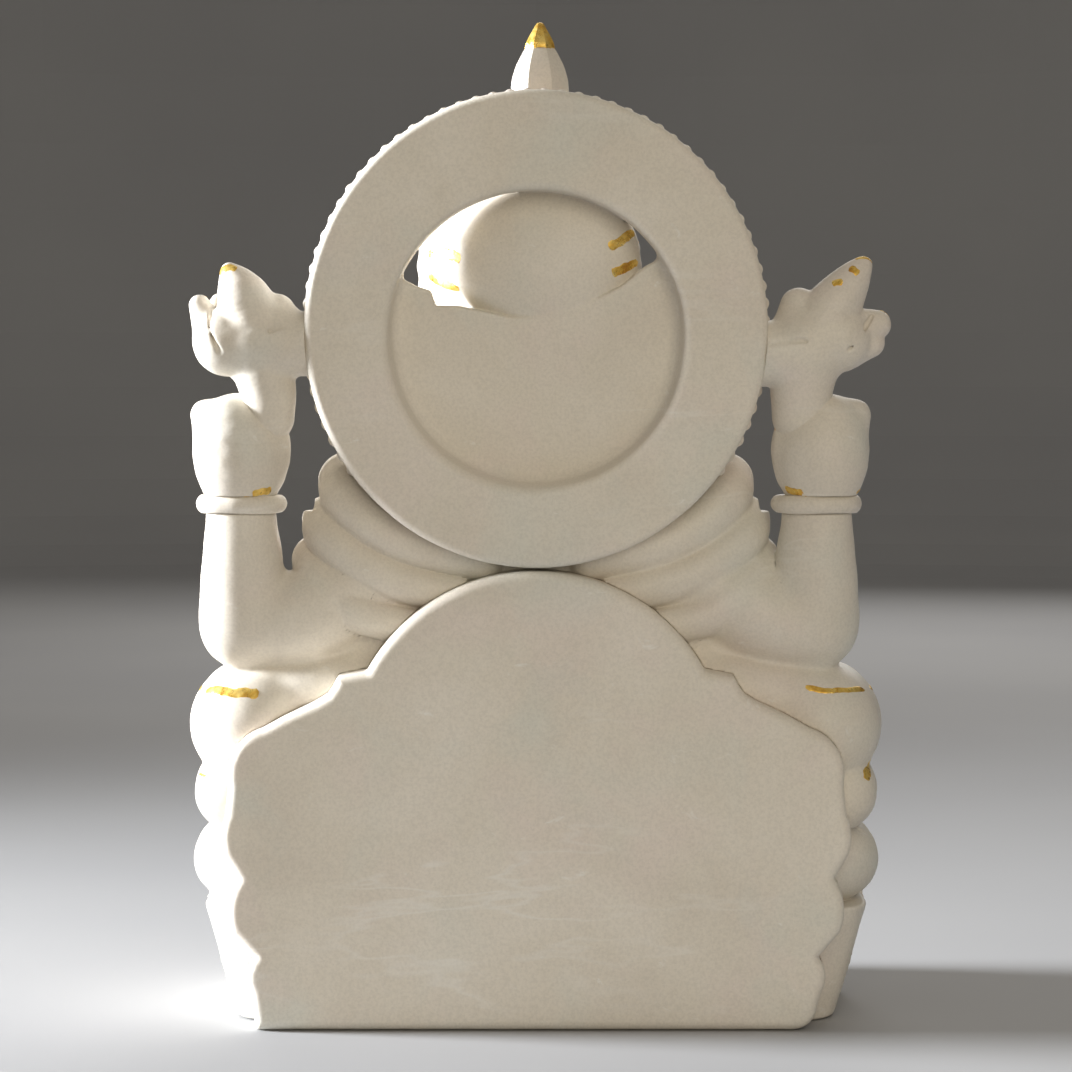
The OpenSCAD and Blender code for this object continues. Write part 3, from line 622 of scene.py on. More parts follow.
class Nodes:
    """A small hand for wiring a material's nodes."""

    def __init__(self, name):
        self.material = bpy.data.materials.new(name)
        self.material.use_nodes = True
        self.tree = self.material.node_tree
        self.shader = self.tree.nodes["Principled BSDF"]
        self.place = self.tree.nodes.new("ShaderNodeTexCoord").outputs["Object"]

    def link(self, source, target):
        self.tree.links.new(source, target)

    def noise(self, scale, detail=3.0, rough=0.5, distortion=0.0, where=None):
        n = self.tree.nodes.new("ShaderNodeTexNoise")
        n.inputs["Scale"].default_value = scale
        n.inputs["Detail"].default_value = detail
        n.inputs["Roughness"].default_value = rough
        n.inputs["Distortion"].default_value = distortion
        self.link(where or self.place, n.inputs["Vector"])
        return n.outputs["Fac"]

    def stretched(self, scale, turn=(0, 0, 0), shift=(0, 0, 0)):
        n = self.tree.nodes.new("ShaderNodeMapping")
        n.inputs["Scale"].default_value = scale
        n.inputs["Rotation"].default_value = [math.radians(a) for a in turn]
        n.inputs["Location"].default_value = shift
        self.link(self.place, n.inputs["Vector"])
        return n.outputs["Vector"]

    def ramp(self, value, *stops):
        """stops are (position, grey or colour)."""
        n = self.tree.nodes.new("ShaderNodeValToRGB")
        while len(n.color_ramp.elements) < len(stops):
            n.color_ramp.elements.new(0.5)
        for e, (position, colour) in zip(n.color_ramp.elements, stops):
            e.position = position
            e.color = (*colour, 1) if isinstance(colour, tuple) else (colour, colour, colour, 1)
        self.link(value, n.inputs["Fac"])
        return n.outputs["Color"]

    def mix(self, amount, a, b, mode="MIX"):
        n = self.tree.nodes.new("ShaderNodeMix")
        n.data_type = "RGBA"
        n.blend_type = mode
        for value, socket in ((amount, n.inputs[0]), (a, n.inputs[6]), (b, n.inputs[7])):
            if isinstance(value, tuple):
                socket.default_value = (*value, 1)
            elif isinstance(value, (int, float)):
                socket.default_value = value
            else:
                self.link(value, socket)
        return n.outputs[2]

    def bump(self, height, strength, depth):
        n = self.tree.nodes.new("ShaderNodeBump")
        n.inputs["Strength"].default_value = strength
        n.inputs["Distance"].default_value = depth
        self.link(height, n.inputs["Height"])
        self.link(n.outputs["Normal"], self.shader.inputs["Normal"])


PALE_FLECK = (0.90, 0.885, 0.85)


def marble_material(name, roughness, grain):
    """White marble: cream, faint pink and green-grey mottling, fine speckle, white flecks, pale veins."""
    m = Nodes(name)
    shade, cream, light = (0.70, 0.64, 0.555), (0.76, 0.705, 0.615), (0.80, 0.75, 0.67)
    body = m.ramp(m.noise(17, 4, 0.55, 0.6), (0.3, shade), (0.5, cream), (0.7, light))
    pink = m.ramp(m.noise(31, 3, 0.5, 0.3, m.stretched((1, 1, 1), shift=(0.3, 0.1, 0.7))),
                  (0.5, 0.0), (0.7, 0.55))
    body = m.mix(pink, body, (0.79, 0.70, 0.64))
    green = m.ramp(m.noise(24, 3, 0.5, 0.3, m.stretched((1, 1, 1), shift=(0.9, 0.4, 0.2))),
                   (0.52, 0.0), (0.72, 0.6))
    body = m.mix(green, body, (0.69, 0.70, 0.64))
    speckle = m.ramp(m.noise(1150, 2, 0.6), (0.34, 0.93), (0.5, 1.0), (0.66, 1.05))
    body = m.mix(0.8, body, speckle, "MULTIPLY")
    flecks = m.ramp(m.noise(75, 4, 0.7, 1.0, m.stretched((1, 1, 1.7), (0, 38, 0))), (0.655, 0.0), (0.76, 0.7))
    body = m.mix(flecks, body, PALE_FLECK)
    vein = m.noise(7, 5, 0.6, 0.25, m.stretched((0.5, 1, 3.2), (0, -12, 0), (0.02, 0, 0.013)))
    thin = m.ramp(m.noise(11, 2, 0.5), (0.46, 0.0), (0.62, 0.42))
    line = m.ramp(vein, (0.488, 0.0), (0.5, 1.0), (0.512, 0.0))
    body = m.mix(m.mix(1.0, thin, line, "MULTIPLY"), body, PALE_FLECK)
    m.link(body, m.shader.inputs["Base Color"])
    rough = m.ramp(m.noise(60, 4, 0.6), (0.3, roughness - 0.07), (0.7, roughness + 0.07))
    m.link(rough, m.shader.inputs["Roughness"])
    m.shader.inputs["Specular IOR Level"].default_value = 0.4
    m.bump(m.noise(900, 3, 0.65), grain, 0.0004)
    return m.material


def gold_material():
    """Brushed-on gold paint: bright flakes, thin orange edges and worn spots."""
    m = Nodes("gold_paint")
    flakes = m.noise(700, 3, 0.6)
    body = m.ramp(m.noise(240, 3, 0.6, 0.5), (0.32, (0.55, 0.27, 0.04)), (0.46, (0.80, 0.50, 0.09)),
                  (0.62, (0.93, 0.68, 0.20)), (0.78, (1.0, 0.84, 0.42)))
    m.link(m.mix(0.35, body, m.ramp(flakes, (0.35, 0.55), (0.65, 1.15)), "MULTIPLY"),
           m.shader.inputs["Base Color"])
    m.link(m.ramp(m.noise(420, 3, 0.6), (0.35, 0.22), (0.65, 0.5)), m.shader.inputs["Roughness"])
    m.shader.inputs["Metallic"].default_value = 0.6
    m.bump(flakes, 0.5, 0.0003)
    return m.material


def dark_paint_material():
    """Near-black paint, for the lines of the eyes and brows."""
    m = Nodes("dark_paint")
    m.link(m.ramp(m.noise(500, 2), (0.3, (0.012, 0.010, 0.009)), (0.7, (0.04, 0.032, 0.028))),
           m.shader.inputs["Base Color"])
    m.link(m.ramp(m.noise(300, 2), (0.3, 0.3), (0.7, 0.45)), m.shader.inputs["Roughness"])
    return m.material


def floor_material():
    m = Nodes("pale_floor")
    m.link(m.ramp(m.noise(3, 2), (0.3, (0.38, 0.38, 0.39)), (0.7, (0.41, 0.41, 0.415))),
           m.shader.inputs["Base Color"])
    m.shader.inputs["Roughness"].default_value = 0.85
    return m.material


MARBLE = marble_material("marble_carved", 0.46, 0.12)
SAWN = marble_material("marble_sawn", 0.58, 0.22)
GOLD = gold_material()
DARK = dark_paint_material()


# ---- camera, light and floor ------------------------------------------------------------------------

VIEW_DISTANCE = 1000
VIEW_ELEVATION = 3
VIEW_WIDTH = 318.9  # how much of the back plane the frame spans
AIM = Vector((0, BACK_Y, 148.7))
LIT_POINT = (0, 0, 150)
FLOOR_Z = -0.2  # just under the idol
SENSOR = 36


def look_from(obj, place, target):
    """Puts a camera or light at a place, facing a target."""
    obj.location = Vector(place) * MM
    obj.rotation_euler = (Vector(target) - Vector(place)).to_track_quat("-Z", "Y").to_euler()
    bpy.context.scene.collection.objects.link(obj)


def set_camera():
    """The photograph's view: from behind, a little above the idol's middle."""
    data = bpy.data.cameras.new("camera")
    data.sensor_width = SENSOR
    data.lens = SENSOR * VIEW_DISTANCE / VIEW_WIDTH
    camera = bpy.data.objects.new("camera", data)
    e = math.radians(VIEW_ELEVATION)
    look_from(camera, AIM + VIEW_DISTANCE * Vector((0, math.cos(e), math.sin(e))), AIM)
    bpy.context.scene.camera = camera


def area_light(name, place, size, watts, colour, spread=180):
    """A round soft light aimed at the idol's middle; spread is in degrees."""
    data = bpy.data.lights.new(name, "AREA")
    data.spread = math.radians(spread)
    data.shape = "DISK"
    data.size = size * MM
    data.energy = watts
    data.color = colour
    look_from(bpy.data.objects.new(name, data), place, LIT_POINT)


def set_stage():
    """A strong side light on the idol's left, soft fill from behind and in front, and a round pale studio."""
    scene = bpy.context.scene
    scene.view_settings.view_transform = "Standard"
    world = bpy.data.worlds.new("studio")
    world.use_nodes = True
    world.node_tree.nodes["Background"].inputs["Color"].default_value = (1.0, 0.95, 0.87, 1)
    world.node_tree.nodes["Background"].inputs["Strength"].default_value = 0.33
    scene.world = world
    cool, neutral, warm = (0.93, 0.96, 1.0), (1.0, 0.98, 0.95), (1.0, 0.90, 0.72)
    area_light("key", (1550, -110, 470), 420, 8.5, cool, spread=50)
    area_light("front_fill", (-300, -1500, 900), 1200, 8, neutral)
    area_light("back_fill", (-300, 1700, 700), 1400, 10.5, warm)
    radius, curve, height = 3000, 900, 2600
    profile = [(0.001, FLOOR_Z), (radius - curve, FLOOR_Z)]
    profile += [(radius - curve + curve * math.sin(a), FLOOR_Z + curve * (1 - math.cos(a)))
                for a in np.radians(np.arange(6, 91, 6))]
    profile.append((radius, height))
    turns = np.linspace(0, 2 * math.pi, 96, endpoint=False)
    points, faces = loft([[(r * math.cos(a), r * math.sin(a), z) for a in turns] for r, z in profile], False)
    floor = make_mesh("studio_floor", points, faces)
    floor.data.materials.append(floor_material())


set_camera()
set_stage()


# ---- seat, slab -------------------------------------------------------------------------------------

def petal_row(count, first, last):
    """Feet of the lotus petals: (x, y, turn about Z in degrees), evenly spaced round the front."""
    hw, reach = 94, 58.4
    t = np.radians(np.linspace(188, 352, 400))
    x = hw * np.sign(np.cos(t)) * np.abs(np.cos(t)) ** ROUND
    y = SEAT_MID_Y - reach * np.abs(np.sin(t)) ** ROUND
    walked = np.concatenate([[0], np.cumsum(np.hypot(np.diff(x), np.diff(y)))])
    at = np.linspace(first, last, count) * walked[-1]
    px, py = np.interp(at, walked, x), np.interp(at, walked, y)
    return [(a, b, math.degrees(math.atan2(a / hw, (SEAT_MID_Y - b) / reach))) for a, b in zip(px, py)]


PETAL_UP = [0, 0.1, 0.35, 0.6, 0.8, 0.93, 1]
PETAL_HALF = [0.74, 0.86, 1, 0.88, 0.58, 0.26, 0.02]


def lotus_petal(x, y, turn, width, height, thick):
    """One petal: broad at a third of its height, pointed on top, full in the middle, with a raised edge."""
    c, s = math.cos(math.radians(turn)), math.sin(math.radians(turn))
    lean = (5 * c * c + 10 * s * s) / BASE_H  # the base is wider at its top than at the floor

    def at(px, py, pz, pad):
        dx, dy = (px - x)[:, None, None], (py - y)[None, :, None]
        across = dx * c + dy * s
        out = dx * s - dy * c - (lean * pz)[None, None, :]
        up = np.clip(pz / height, 0, 1)[None, None, :]
        half = width * np.interp(up, PETAL_UP, PETAL_HALF)
        rel = np.abs(across) / np.maximum(half, 0.3)
        swell = thick * np.sqrt(np.clip(1 - rel ** 2, 0, 1)) * (1 - 0.45 * up)
        border = 0.9 * np.exp(-((rel - 0.84) / 0.1) ** 2)
        vein = 0.7 * np.exp(-(across / 1.1) ** 2) * np.clip(up * 4, 0, 1)
        front = out - (-0.6 + swell + border - vein + 1.8 * up ** 3)
        edge = (np.abs(across) - half) * 0.8
        top = (pz - height)[None, None, :]
        return np.maximum(np.maximum(front, edge), np.maximum(top, -4 - out)).astype(np.float32)

    reach = width + thick + 12
    return np.array([x - reach, y - reach, 0]), np.array([x + reach, y + reach, height]), at


def make_seat():
    """Base, two rows of petals round its front, and the cushion with a groove along both its edges."""
    seat = Carving((-107, -62, 0), (107, 48, CUSHION_TOP), 0.7)
    seat.add("lotus_base", base_shape(), 0)
    seat.add("seat_cushion", cushion_shape(), 1.0)
    for x, y, turn in petal_row(12, -0.01, 1.01):
        seat.add("lotus_petals", lotus_petal(x, y, turn, 8.6, 33.6, 2.6), 0.5)
    for x, y, turn in petal_row(11, 0.035, 0.965):
        seat.add("lotus_petals", lotus_petal(x, y, turn, 11.4, 30, 4.6), 0.5, 0.3)
    front = CUSHION_LOW[1]
    from_edge, inset = 3.2, 2.6
    for level in (BASE_H + from_edge, CUSHION_TOP - from_edge):
        plan = seat_plan(CUSHION_HIGH[0] - inset, front + inset, 46 - inset, 72)
        rows = [(x, y, level, 0.8) for x, y in plan]
        seat.carve(limb([r for r in rows if r[1] < 30] + [rows[0]], 1), 1.2)
    seat.hand_cut(0.18, 34, 0.4)
    seat.stop_at(slab_shape())
    seat.stop_plane(2, 0, -1)
    carve_out(seat)


def make_slab():
    """The sawn slab: a flat back with a soft edge all round its outline, a little uneven by hand."""
    slab = Carving((SLAB_LOW[0] - 1, SLAB_LOW[1], 0), (SLAB_HIGH[0] + 1, BACK_Y, SLAB_HIGH[2]), 0.85)
    slab.add("back_slab", slab_shape(), 0)
    slab.hand_cut(0.05, 23, 2.1)
    slab.stop_plane(1, BACK_Y, 1)
    slab.stop_plane(2, 0, -1)
    carve_out(slab, sawn=("back_slab",))


# ---- body, arms and legs ----------------------------------------------------------------------------

BANGLE_Z = node_box("left_rear_bracelet")[0][2]
HAND_Z = node_box("left_rear_bracelet")[1][2]
REAR_Y = 34
ARM_X = 87
ARM_OUT = {1: 2.0, -1: -2.2}  # the left forearm stands a little further out than the right one
SIDES = {1: "left_", -1: "right_"}
# centre lines [x, y, z, radius] that more than one carving needs; each is drawn on the left and mirrored
LEFT_FOREARM = [[62, -8, 122, 11.8], [60, -18, 115, 11], [55, -28, 110.5, 9.5], [50, -33, 109, 8]]
RIGHT_FOREARM = [[62, -8, 122, 11.8], [60, -20, 125, 11], [53, -30, 131, 9.5], [47, -35, 138, 7.9]]
RIGHT_SHIN = [[92, 34, 69.5, 12], [93, 8, 69.5, 12], [84, -20, 70, 12.2], [54, -33, 75, 11.3],
              [24, -32, 82, 9.8], [4, -30, 86, 7.9]]
BELLY = (0, -7, 121), (41, 31, 33.5)


def sided(shape, side):
    """A shape drawn on the idol's left, put on the side that is asked for."""
    return shape if side > 0 else mirrored(shape)


def rear_arm(body, side):
    x = ARM_X + ARM_OUT[side]
    body.add(SIDES[side] + "rear_upper_arm", sided(limb(
        [[48, 30, 134, 15], [60, 32, 128, 15], [72, REAR_Y, 122.5, 14.2],
         [x - 1, REAR_Y, 121.5, 12.8]]), side), 3)
    body.add(SIDES[side] + "rear_forearm", sided(limb(
        [[x, REAR_Y, 120.6, 13.0], [x + 0.2, 35, 130, 13], [x, 37, 142, 12], [x, 38.4, 150, 10.9],
         [x, 39, 157, 10.4]], 5), side), 4)


def shawl(body, side):
    """Cloth drawn over the shoulder: rolls that hang from its outer side and run down to the slab's top."""
    name = SIDES[side] + "shawl"
    for under in ([[24, 25, 166, 13.6], [42, 26, 156, 13.6], [52, 27, 148, 10.4]],
                  [[22, 26, 150, 16], [42, 26.6, 143, 14.4], [55, 28, 137, 11]],
                  [[26, 27, 136, 15.6], [44, 27.6, 130, 14.2], [60, 29, 125, 11]]):
        body.add(name, sided(limb(under, 5), side), 3, 0.6)
    lip = 0.3 if side > 0 else 1.3  # the folds are crisper on the left shoulder
    rolls = [
        [[58, 27, 164, 8.6], [57.6, 35.5, 159, 7.4], [49, 39.6, 151, 7.2], [36, 41, 145.0, 7.0],
         [16, 41.6, 140.6, 6.4]],
        [[63.4, 27, 151.6, 8.2], [62.6, 36.5, 147.0, 6.9], [51.6, 40.6, 138.8, 6.8], [40, 41.8, 134.0, 6.2],
         [24, 42.4, 130.6, 5.6]],
        [[66.6, 28, 139.6, 8.2], [65.6, 37, 134.6, 6.8], [57, 41, 127.2, 6.4], [48, 42, 122.6, 5.8],
         [34, 42.4, 119.6, 5.2]],
    ]
    for roll in rolls:
        body.add(name, sided(limb(roll, 6), side), lip, 0.8)


def thigh(body, side):
    """The leg folded flat, its round outer side, and the cloth that fills in under the rear arm."""
    name = SIDES[side] + "thigh"
    r = 19.6
    for path in ([[26, 14, 88, 21.5], [52, 20, 90, 20.4], [76, 16, 89.5, 19.4], [85, -5, 89, 19.2]],
                 [[60, 20, 90, r], [85.5, 12, 89.3, r], [85.5, 31, 89.3, r]]):
        body.add(name, sided(limb(path, 4), side), 5)
    body.add(name, sided(limb([[36, 32, 99, 12.5], [58, 35, 100, 12.2], [78, 34, 98, 12]], 3), side), 4)


def cloth_pleats(body):
    """Pleats of the dhoti over the front of both legs; the back of the idol is left plain."""
    body.pleat(("left_thigh", "right_thigh"),
               lambda x, y, z: (np.hypot(np.abs(x) - 26, (z - 88) * 1.0) + 0.35 * y) / 8.4, 1.0,
               lambda x, y, z: np.clip((20 - y) / 14, 0, 1) * np.clip((np.abs(x) - 34) / 8, 0, 1))
    body.pleat(("left_shin", "right_shin"),
               lambda x, y, z: (np.abs(x) + 0.45 * (z - 70) - 0.2 * y) / 8.0, 1.0,
               lambda x, y, z: np.clip((16 - y) / 14, 0, 1) * np.clip((np.abs(x) - 22) / 8, 0, 1))


def shins(body):
    """The left shin lies in front, on the seat; the right one crosses above and behind it."""
    body.add("left_shin", limb([[92, 34, 69.5, 12], [93, 8, 69.5, 12], [84, -20, 69.5, 12.2],
                                [52, -37, 70, 11.3], [18, -44, 70, 9.6], [2, -45, 70, 7.9]], 5), 1.6)
    body.add("right_shin", mirrored(limb(RIGHT_SHIN, 5)), 1.6)


def foot(body, name, heel, turn, side):
    """Heel, instep, ball, five toes with nails, lying along the idol's other side."""
    m = turned((0, 0, turn))

    def put(p):
        q = m @ np.array(p[:3], float)
        return [heel[0] + q[0], heel[1] + q[1], heel[2] + q[2], p[3]]

    def lay(steps, blend, *rows):
        body.add(name, sided(limb([put(row) for row in rows], steps), side), blend, 1.0)

    lay(4, 2.5, (3, 0, -0.5, 6.6), (-6, 0, 0.8, 6.6), (-15, 0.4, -0.4, 5.9), (-22, 1, -1.6, 5.0))
    lay(2, 2.5, (-18, -3, -1.8, 4.2), (-23.5, -2.4, -2.4, 3.8))
    lay(2, 2.5, (-18, 4, -1.8, 4.2), (-23, 4.6, -2.6, 3.6))
    for i in range(5):  # the big toe first
        y = -4.8 + i * 2.75
        r = 2.7 - 0.28 * i
        reach = -31.6 + 1.3 * i
        lay(3, 0.7, (-23, y, -2.2, r), (reach + 3, y * 1.05, -2.0, r * 0.86), (reach, y * 1.06, -2.4, r))
        nail = put((reach - 0.5, y * 1.06, -2.4 + r, 0.5))
        body.carve(sided(blob(nail[:3], (1.3, 1.1 - 0.1 * i, 0.35), (0, -14, turn)), side), 0.3)


def front_arm(body, side):
    name = SIDES[side] + "front_"
    body.add(name + "upper_arm", sided(limb(
        [[36, 5, 160, 15], [49, 1, 150, 14.2], [57, -4, 136, 12.8], [62, -8, 122, 12]], 5), side), 3)
    body.add(name + "forearm", sided(limb(LEFT_FOREARM if side > 0 else RIGHT_FOREARM, 5), side), 3)


def make_body():
    """Torso, legs, arms and cloth, carved as one block."""
    body = Carving((-108, -56, CUSHION_TOP - 2), (108, 52, 184), 0.68)
    body.add("torso", blob((0, 18, 132), (50, 26, 40)), 0)
    body.add("torso", blob((0, 16, 166), (34, 19, 15)), 8)
    body.add("torso", blob((0, 16, 92), (40, 26, 14)), 8)
    # closes the space between the rear arms and the slab's shoulders
    body.add("torso", limb([[-52, 31, 112, 9], [-30, 31, 118, 12], [30, 31, 118, 12],
                            [52, 31, 112, 9]], 2), 3)
    for side in (-1, 1):
        body.add("torso", blob((17 * side, -6, 153), (19, 9, 12), (0, 0, -14 * side)), 5)
    body.add("dhoti_lap", limb([[-52, -6, 74, 13], [-24, -15, 75, 16], [24, -15, 75, 16],
                                [52, -6, 74, 13]], 4), 4)
    body.add("dhoti_lap", limb([[-70, -8, 72.5, 9], [70, -8, 72.5, 9]], 1), 4)
    for side in (-1, 1):
        thigh(body, side)
    body.add("belly", blob(*BELLY), 3)
    for side in (-1, 1):
        front_arm(body, side)
        rear_arm(body, side)
        shawl(body, side)
    shins(body)
    foot(body, "left_foot", (-4, -45, 69), 2, 1)
    foot(body, "right_foot", (-4, -29, 86.5), -8, -1)
    # navel and the crease under the belly
    body.carve(blob((0, -37.6, 117), (2.6, 3.2, 2.2)), 2.5)
    body.carve(limb([[-34, -22, 101, 0.7], [-18, -32, 98, 1.4], [0, -35, 97, 1.5], [18, -32, 98, 1.4],
                     [34, -22, 101, 0.7]], 5), 2.2)
    cloth_pleats(body)
    body.hand_cut(0.2, 38, 1.1)
    body.stop_at(ring_shape())
    body.stop_at(slab_shape())
    body.stop_at(cushion_shape())
    beyond_shoulders = (np.abs(body.axes[0]) > 68)[:, None, None]
    over_bracelet = (body.axes[2] - BANGLE_Z)[None, None, :]
    body.dist = np.where(beyond_shoulders, np.maximum(body.dist, over_bracelet), body.dist)
    body.stop_at(head_block())
    carve_out(body)


def head_block():
    """The head, for the shoulders to stop at."""
    return blob((0, 0, 195), (29, 27, 27))


# ---- halo ring, rim and the panel behind the neck ---------------------------------------------------

def hole_front(z):
    """Radius of the hole at the ring's front: smaller below, where it is flared, than above."""
    return np.interp(z, [HOLE_Z - 4, HOLE_Z + 17], [HOLE_FRONT_R, HOLE_TOP_R])


def ring_body():
    """The halo ring: an oval disc with a slightly flared round hole and soft edges."""
    mid, half = (BACK_Y + RING_LOW[1]) / 2, (BACK_Y - RING_LOW[1]) / 2

    def at(x, y, z, pad):
        u = ((x - RING_C[0]) / RING_HALF[0])[:, None, None]
        w = ((z - RING_C[2]) / RING_HALF[2])[None, None, :]
        outer = (np.sqrt(u ** 2 + w ** 2) - 1) * (RING_HALF[0] + RING_HALF[2]) / 2
        back = np.clip((y - RING_LOW[1]) / (BACK_Y - RING_LOW[1]), 0, 1)[None, :, None]
        hole = hole_front(z)[None, None, :] * (1 - back) + HOLE_BACK_R * back
        from_hole = hole - np.sqrt((x ** 2)[:, None, None] + ((z - HOLE_Z) ** 2)[None, None, :])
        flat = np.maximum(outer, from_hole) + RING_EDGE_R
        return rounded(flat, (np.abs(y - mid) - half + RING_EDGE_R)[None, :, None], RING_EDGE_R)

    return RING_LOW, np.array([RING_HIGH[0], BACK_Y, RING_HIGH[2]]), at


# top edge of the panel behind the neck, as (x, z): it dips under the crown's back and rises at both sides
WEB_TOP = np.array([(-42, 233.5), (-38.5, 232), (-32.5, 229), (-26, 223.5), (-14, 217.4), (0, 214), (8, 214),
                    (23.5, 217.2), (30, 217.4), (31.6, 221.8), (36.3, 223.4), (38, 224.4), (42, 225.2)])


def web_panel():
    """The panel that closes the lower part of the hole, dished a little towards its middle."""
    half = (WEB_HIGH[1] - WEB_LOW[1]) / 2
    mid = WEB_HIGH[1] - half

    def at(x, y, z, pad):
        r = np.sqrt((x ** 2)[:, None, None] + ((z - HOLE_Z) ** 2)[None, None, :])
        r = r - hole_front(z)[None, None, :] - 1
        dish = 1.6 * np.exp(-((x[:, None, None] / 27) ** 2 + ((z[None, None, :] - 192) / 22) ** 2))
        deep = np.abs(y - mid)[None, :, None] - half + np.where((y > mid)[None, :, None], dish - 0.8, 0)
        top = (z[None, None, :] - np.interp(x, WEB_TOP[:, 0], WEB_TOP[:, 1])[:, None, None]) * 0.9
        return rounded(np.maximum(r, top) + WEB_EDGE_R, deep + WEB_EDGE_R, WEB_EDGE_R)

    return WEB_LOW - np.array([3, 0, 0]), WEB_HIGH + np.array([3, 2, 6]), at


def make_halo():
    """Ring, the panel in its hole, and the crown, whose round back is carved into the hole."""
    low = (RING_LOW[0], CROWN_Y - CROWN_R - 1, RING_LOW[2])
    halo = Carving(low, (RING_HIGH[0], BACK_Y, DOME_HIGH[2]), 0.6)
    halo.add("halo_ring", ring_body(), 0)
    halo.add("halo_web", web_panel(), 3.2, -2.4)  # the fillet between the two stays with the ring
    halo.add("crown_dome", crown_shape(), 0.8)
    halo.name_below("crown_dome", "crown_band", BAND_HIGH[2])
    halo.hand_cut(0.06, 31, 0.3)
    halo.stop_plane(2, DOME_HIGH[2], 1)
    halo.stop_plane(1, BACK_Y, 1)
    carve_out(halo, sawn=("halo_ring",))


def rim_section(a, scallops, rise):
    """Section of the scalloped front rim: beads round its edge, a row of rays on its front face."""
    c, s = math.cos(a), math.sin(a)
    bead = abs(math.sin(a * scallops / 2))
    grow = rise * bead ** 0.8 * (1 + 0.12 * ripple(9 * a, 21 * a))
    y_back, y_front = RIM_HIGH[1], RIM_LOW[1]
    t = y_back - y_front
    ray = 0.8 * (1 - bead) ** 0.7

    def at(inset, y):
        out = grow * min(1, max(0, 1 - inset / 9))
        return (RING_HALF[0] - inset + out) * c, y, RING_C[2] + (RING_HALF[2] - inset + out) * s

    return [at(0.6, y_back), at(0.1, y_back - 0.5), at(0, y_back - 0.25 * t), at(0, y_front + 0.35 * t),
            at(0.5, y_front + 0.12 * t), at(1.4, y_front + ray * 0.6), at(3, y_front + ray),
            at(5, y_front + ray), at(6.3, y_front + 0.6 * ray + 0.2), at(7.0, y_front + 1.0), at(7.0, y_back)]


def make_rim():
    scallops = 84
    rise = RIM_HIGH[0] - RING_HIGH[0]
    turns = np.linspace(0, 2 * math.pi, scallops * 10, endpoint=False)
    make_marble("halo_scalloped_rim", *loop_skin([rim_section(a, scallops, rise) for a in turns]))


# ---- head -------------------------------------------------------------------------------------------

TRUNK = [[0, -15, 190, 14.5], [0, -28, 179, 13], [0, -38, 164, 11.4], [3, -43.5, 148, 10],
         [11, -45.5, 134, 8.8], [23, -45.5, 125.5, 7.7], [33, -44.5, 127, 6.7], [36.5, -43.5, 134, 5.6]]
EYE_Y, EYE_Z = -20.8, 196.6  # middle of the eyes, on the surface of the face


def ear(head, side):
    """A broad fan-shaped ear with a rolled rim, a lobe at its foot and soft inner folds."""
    name = SIDES[side] + "ear"
    head.add(name, sided(blob((43.4, 7.2, 194.5), (20, 3.4, 23.5), (0, 0, -15)), side), 2)
    leaf = [[26, 12, 205, 5], [40, 10, 210, 4.2], [54, 6, 205, 3.2], [59.5, 3.4, 197, 2.8]]
    for path in (leaf, [[26, 12, 196, 5], [42, 9, 198, 4.0], [58, 3.6, 194, 2.8]],
                 [[26, 12, 189, 5], [40, 9.5, 188, 3.8], [55, 4.6, 184, 2.6]],
                 [[27, 12, 184, 4.5], [38, 10, 180, 3.4], [49, 6.4, 176, 2.6]],
                 [[29, 12, 182, 4], [37, 10, 174, 3.2], [44, 8.2, 171.5, 2.6]]):
        head.add(name, sided(limb(path, 4), side), 5)
    rim = [[30, 10.5, 211.5, 2.4], [44, 8.2, 215.5, 2.7], [56, 4.2, 211.5, 2.7], [61.2, 1.4, 202, 2.6],
           [61, 1.6, 192, 2.5], [57, 3, 182, 2.4], [50.5, 5.6, 173.6, 2.3], [43, 8, 169.4, 2.3],
           [36, 9.6, 172, 2.0]]
    head.add(name, sided(limb(rim, 5), side), 1.6)
    for fold in ([[33, 6.2, 203, 0.6], [44, 3.6, 203, 1.3], [53, 1, 196, 1.0], [54, 1.2, 188, 0.5]],
                 [[33, 6.6, 194, 0.6], [42, 4.8, 191, 1.2], [48, 3.4, 184, 0.9], [48, 4.2, 178, 0.5]],
                 [[34, 7.5, 186, 0.5], [39, 6.6, 182, 0.9], [41, 6.4, 177, 0.5]]):
        head.carve(sided(limb(fold, 5), side), 2.0)


def eye(head, side):
    """A long calm eye: socket, lids and a slight brow. The dark line of the eye is its own piece."""
    x, y, z = 15.6 * side, EYE_Y, EYE_Z
    turn = (-6, 0, 36 * side)
    head.carve(blob((x, y - 2.6, z), (7.4, 2.6, 4.4), turn), 3.0)
    head.add("head", blob((x * 0.985, y + 0.8, z - 0.2), (5.6, 2.9, 2.9), turn), 0.8, 2)
    lid = [[x - 6.2 * side * 0.8, y + 0.6 - 4.0 * 0.8, z - 0.6, 0.6], [x, y - 2.2, z + 3.0, 0.9],
           [x + 5.6 * side, y + 4.4, z + 0.6, 0.6]]
    head.add("head", limb(lid, 5), 1.2, 2)
    brow = [[x - 6 * side, y - 4.2, z + 5.6, 0.8], [x, y - 2.4, z + 7.8, 1.3],
            [x + 7 * side, y + 4.6, z + 5.4, 0.8]]
    head.add("head", limb(brow, 5), 2.4, 2)


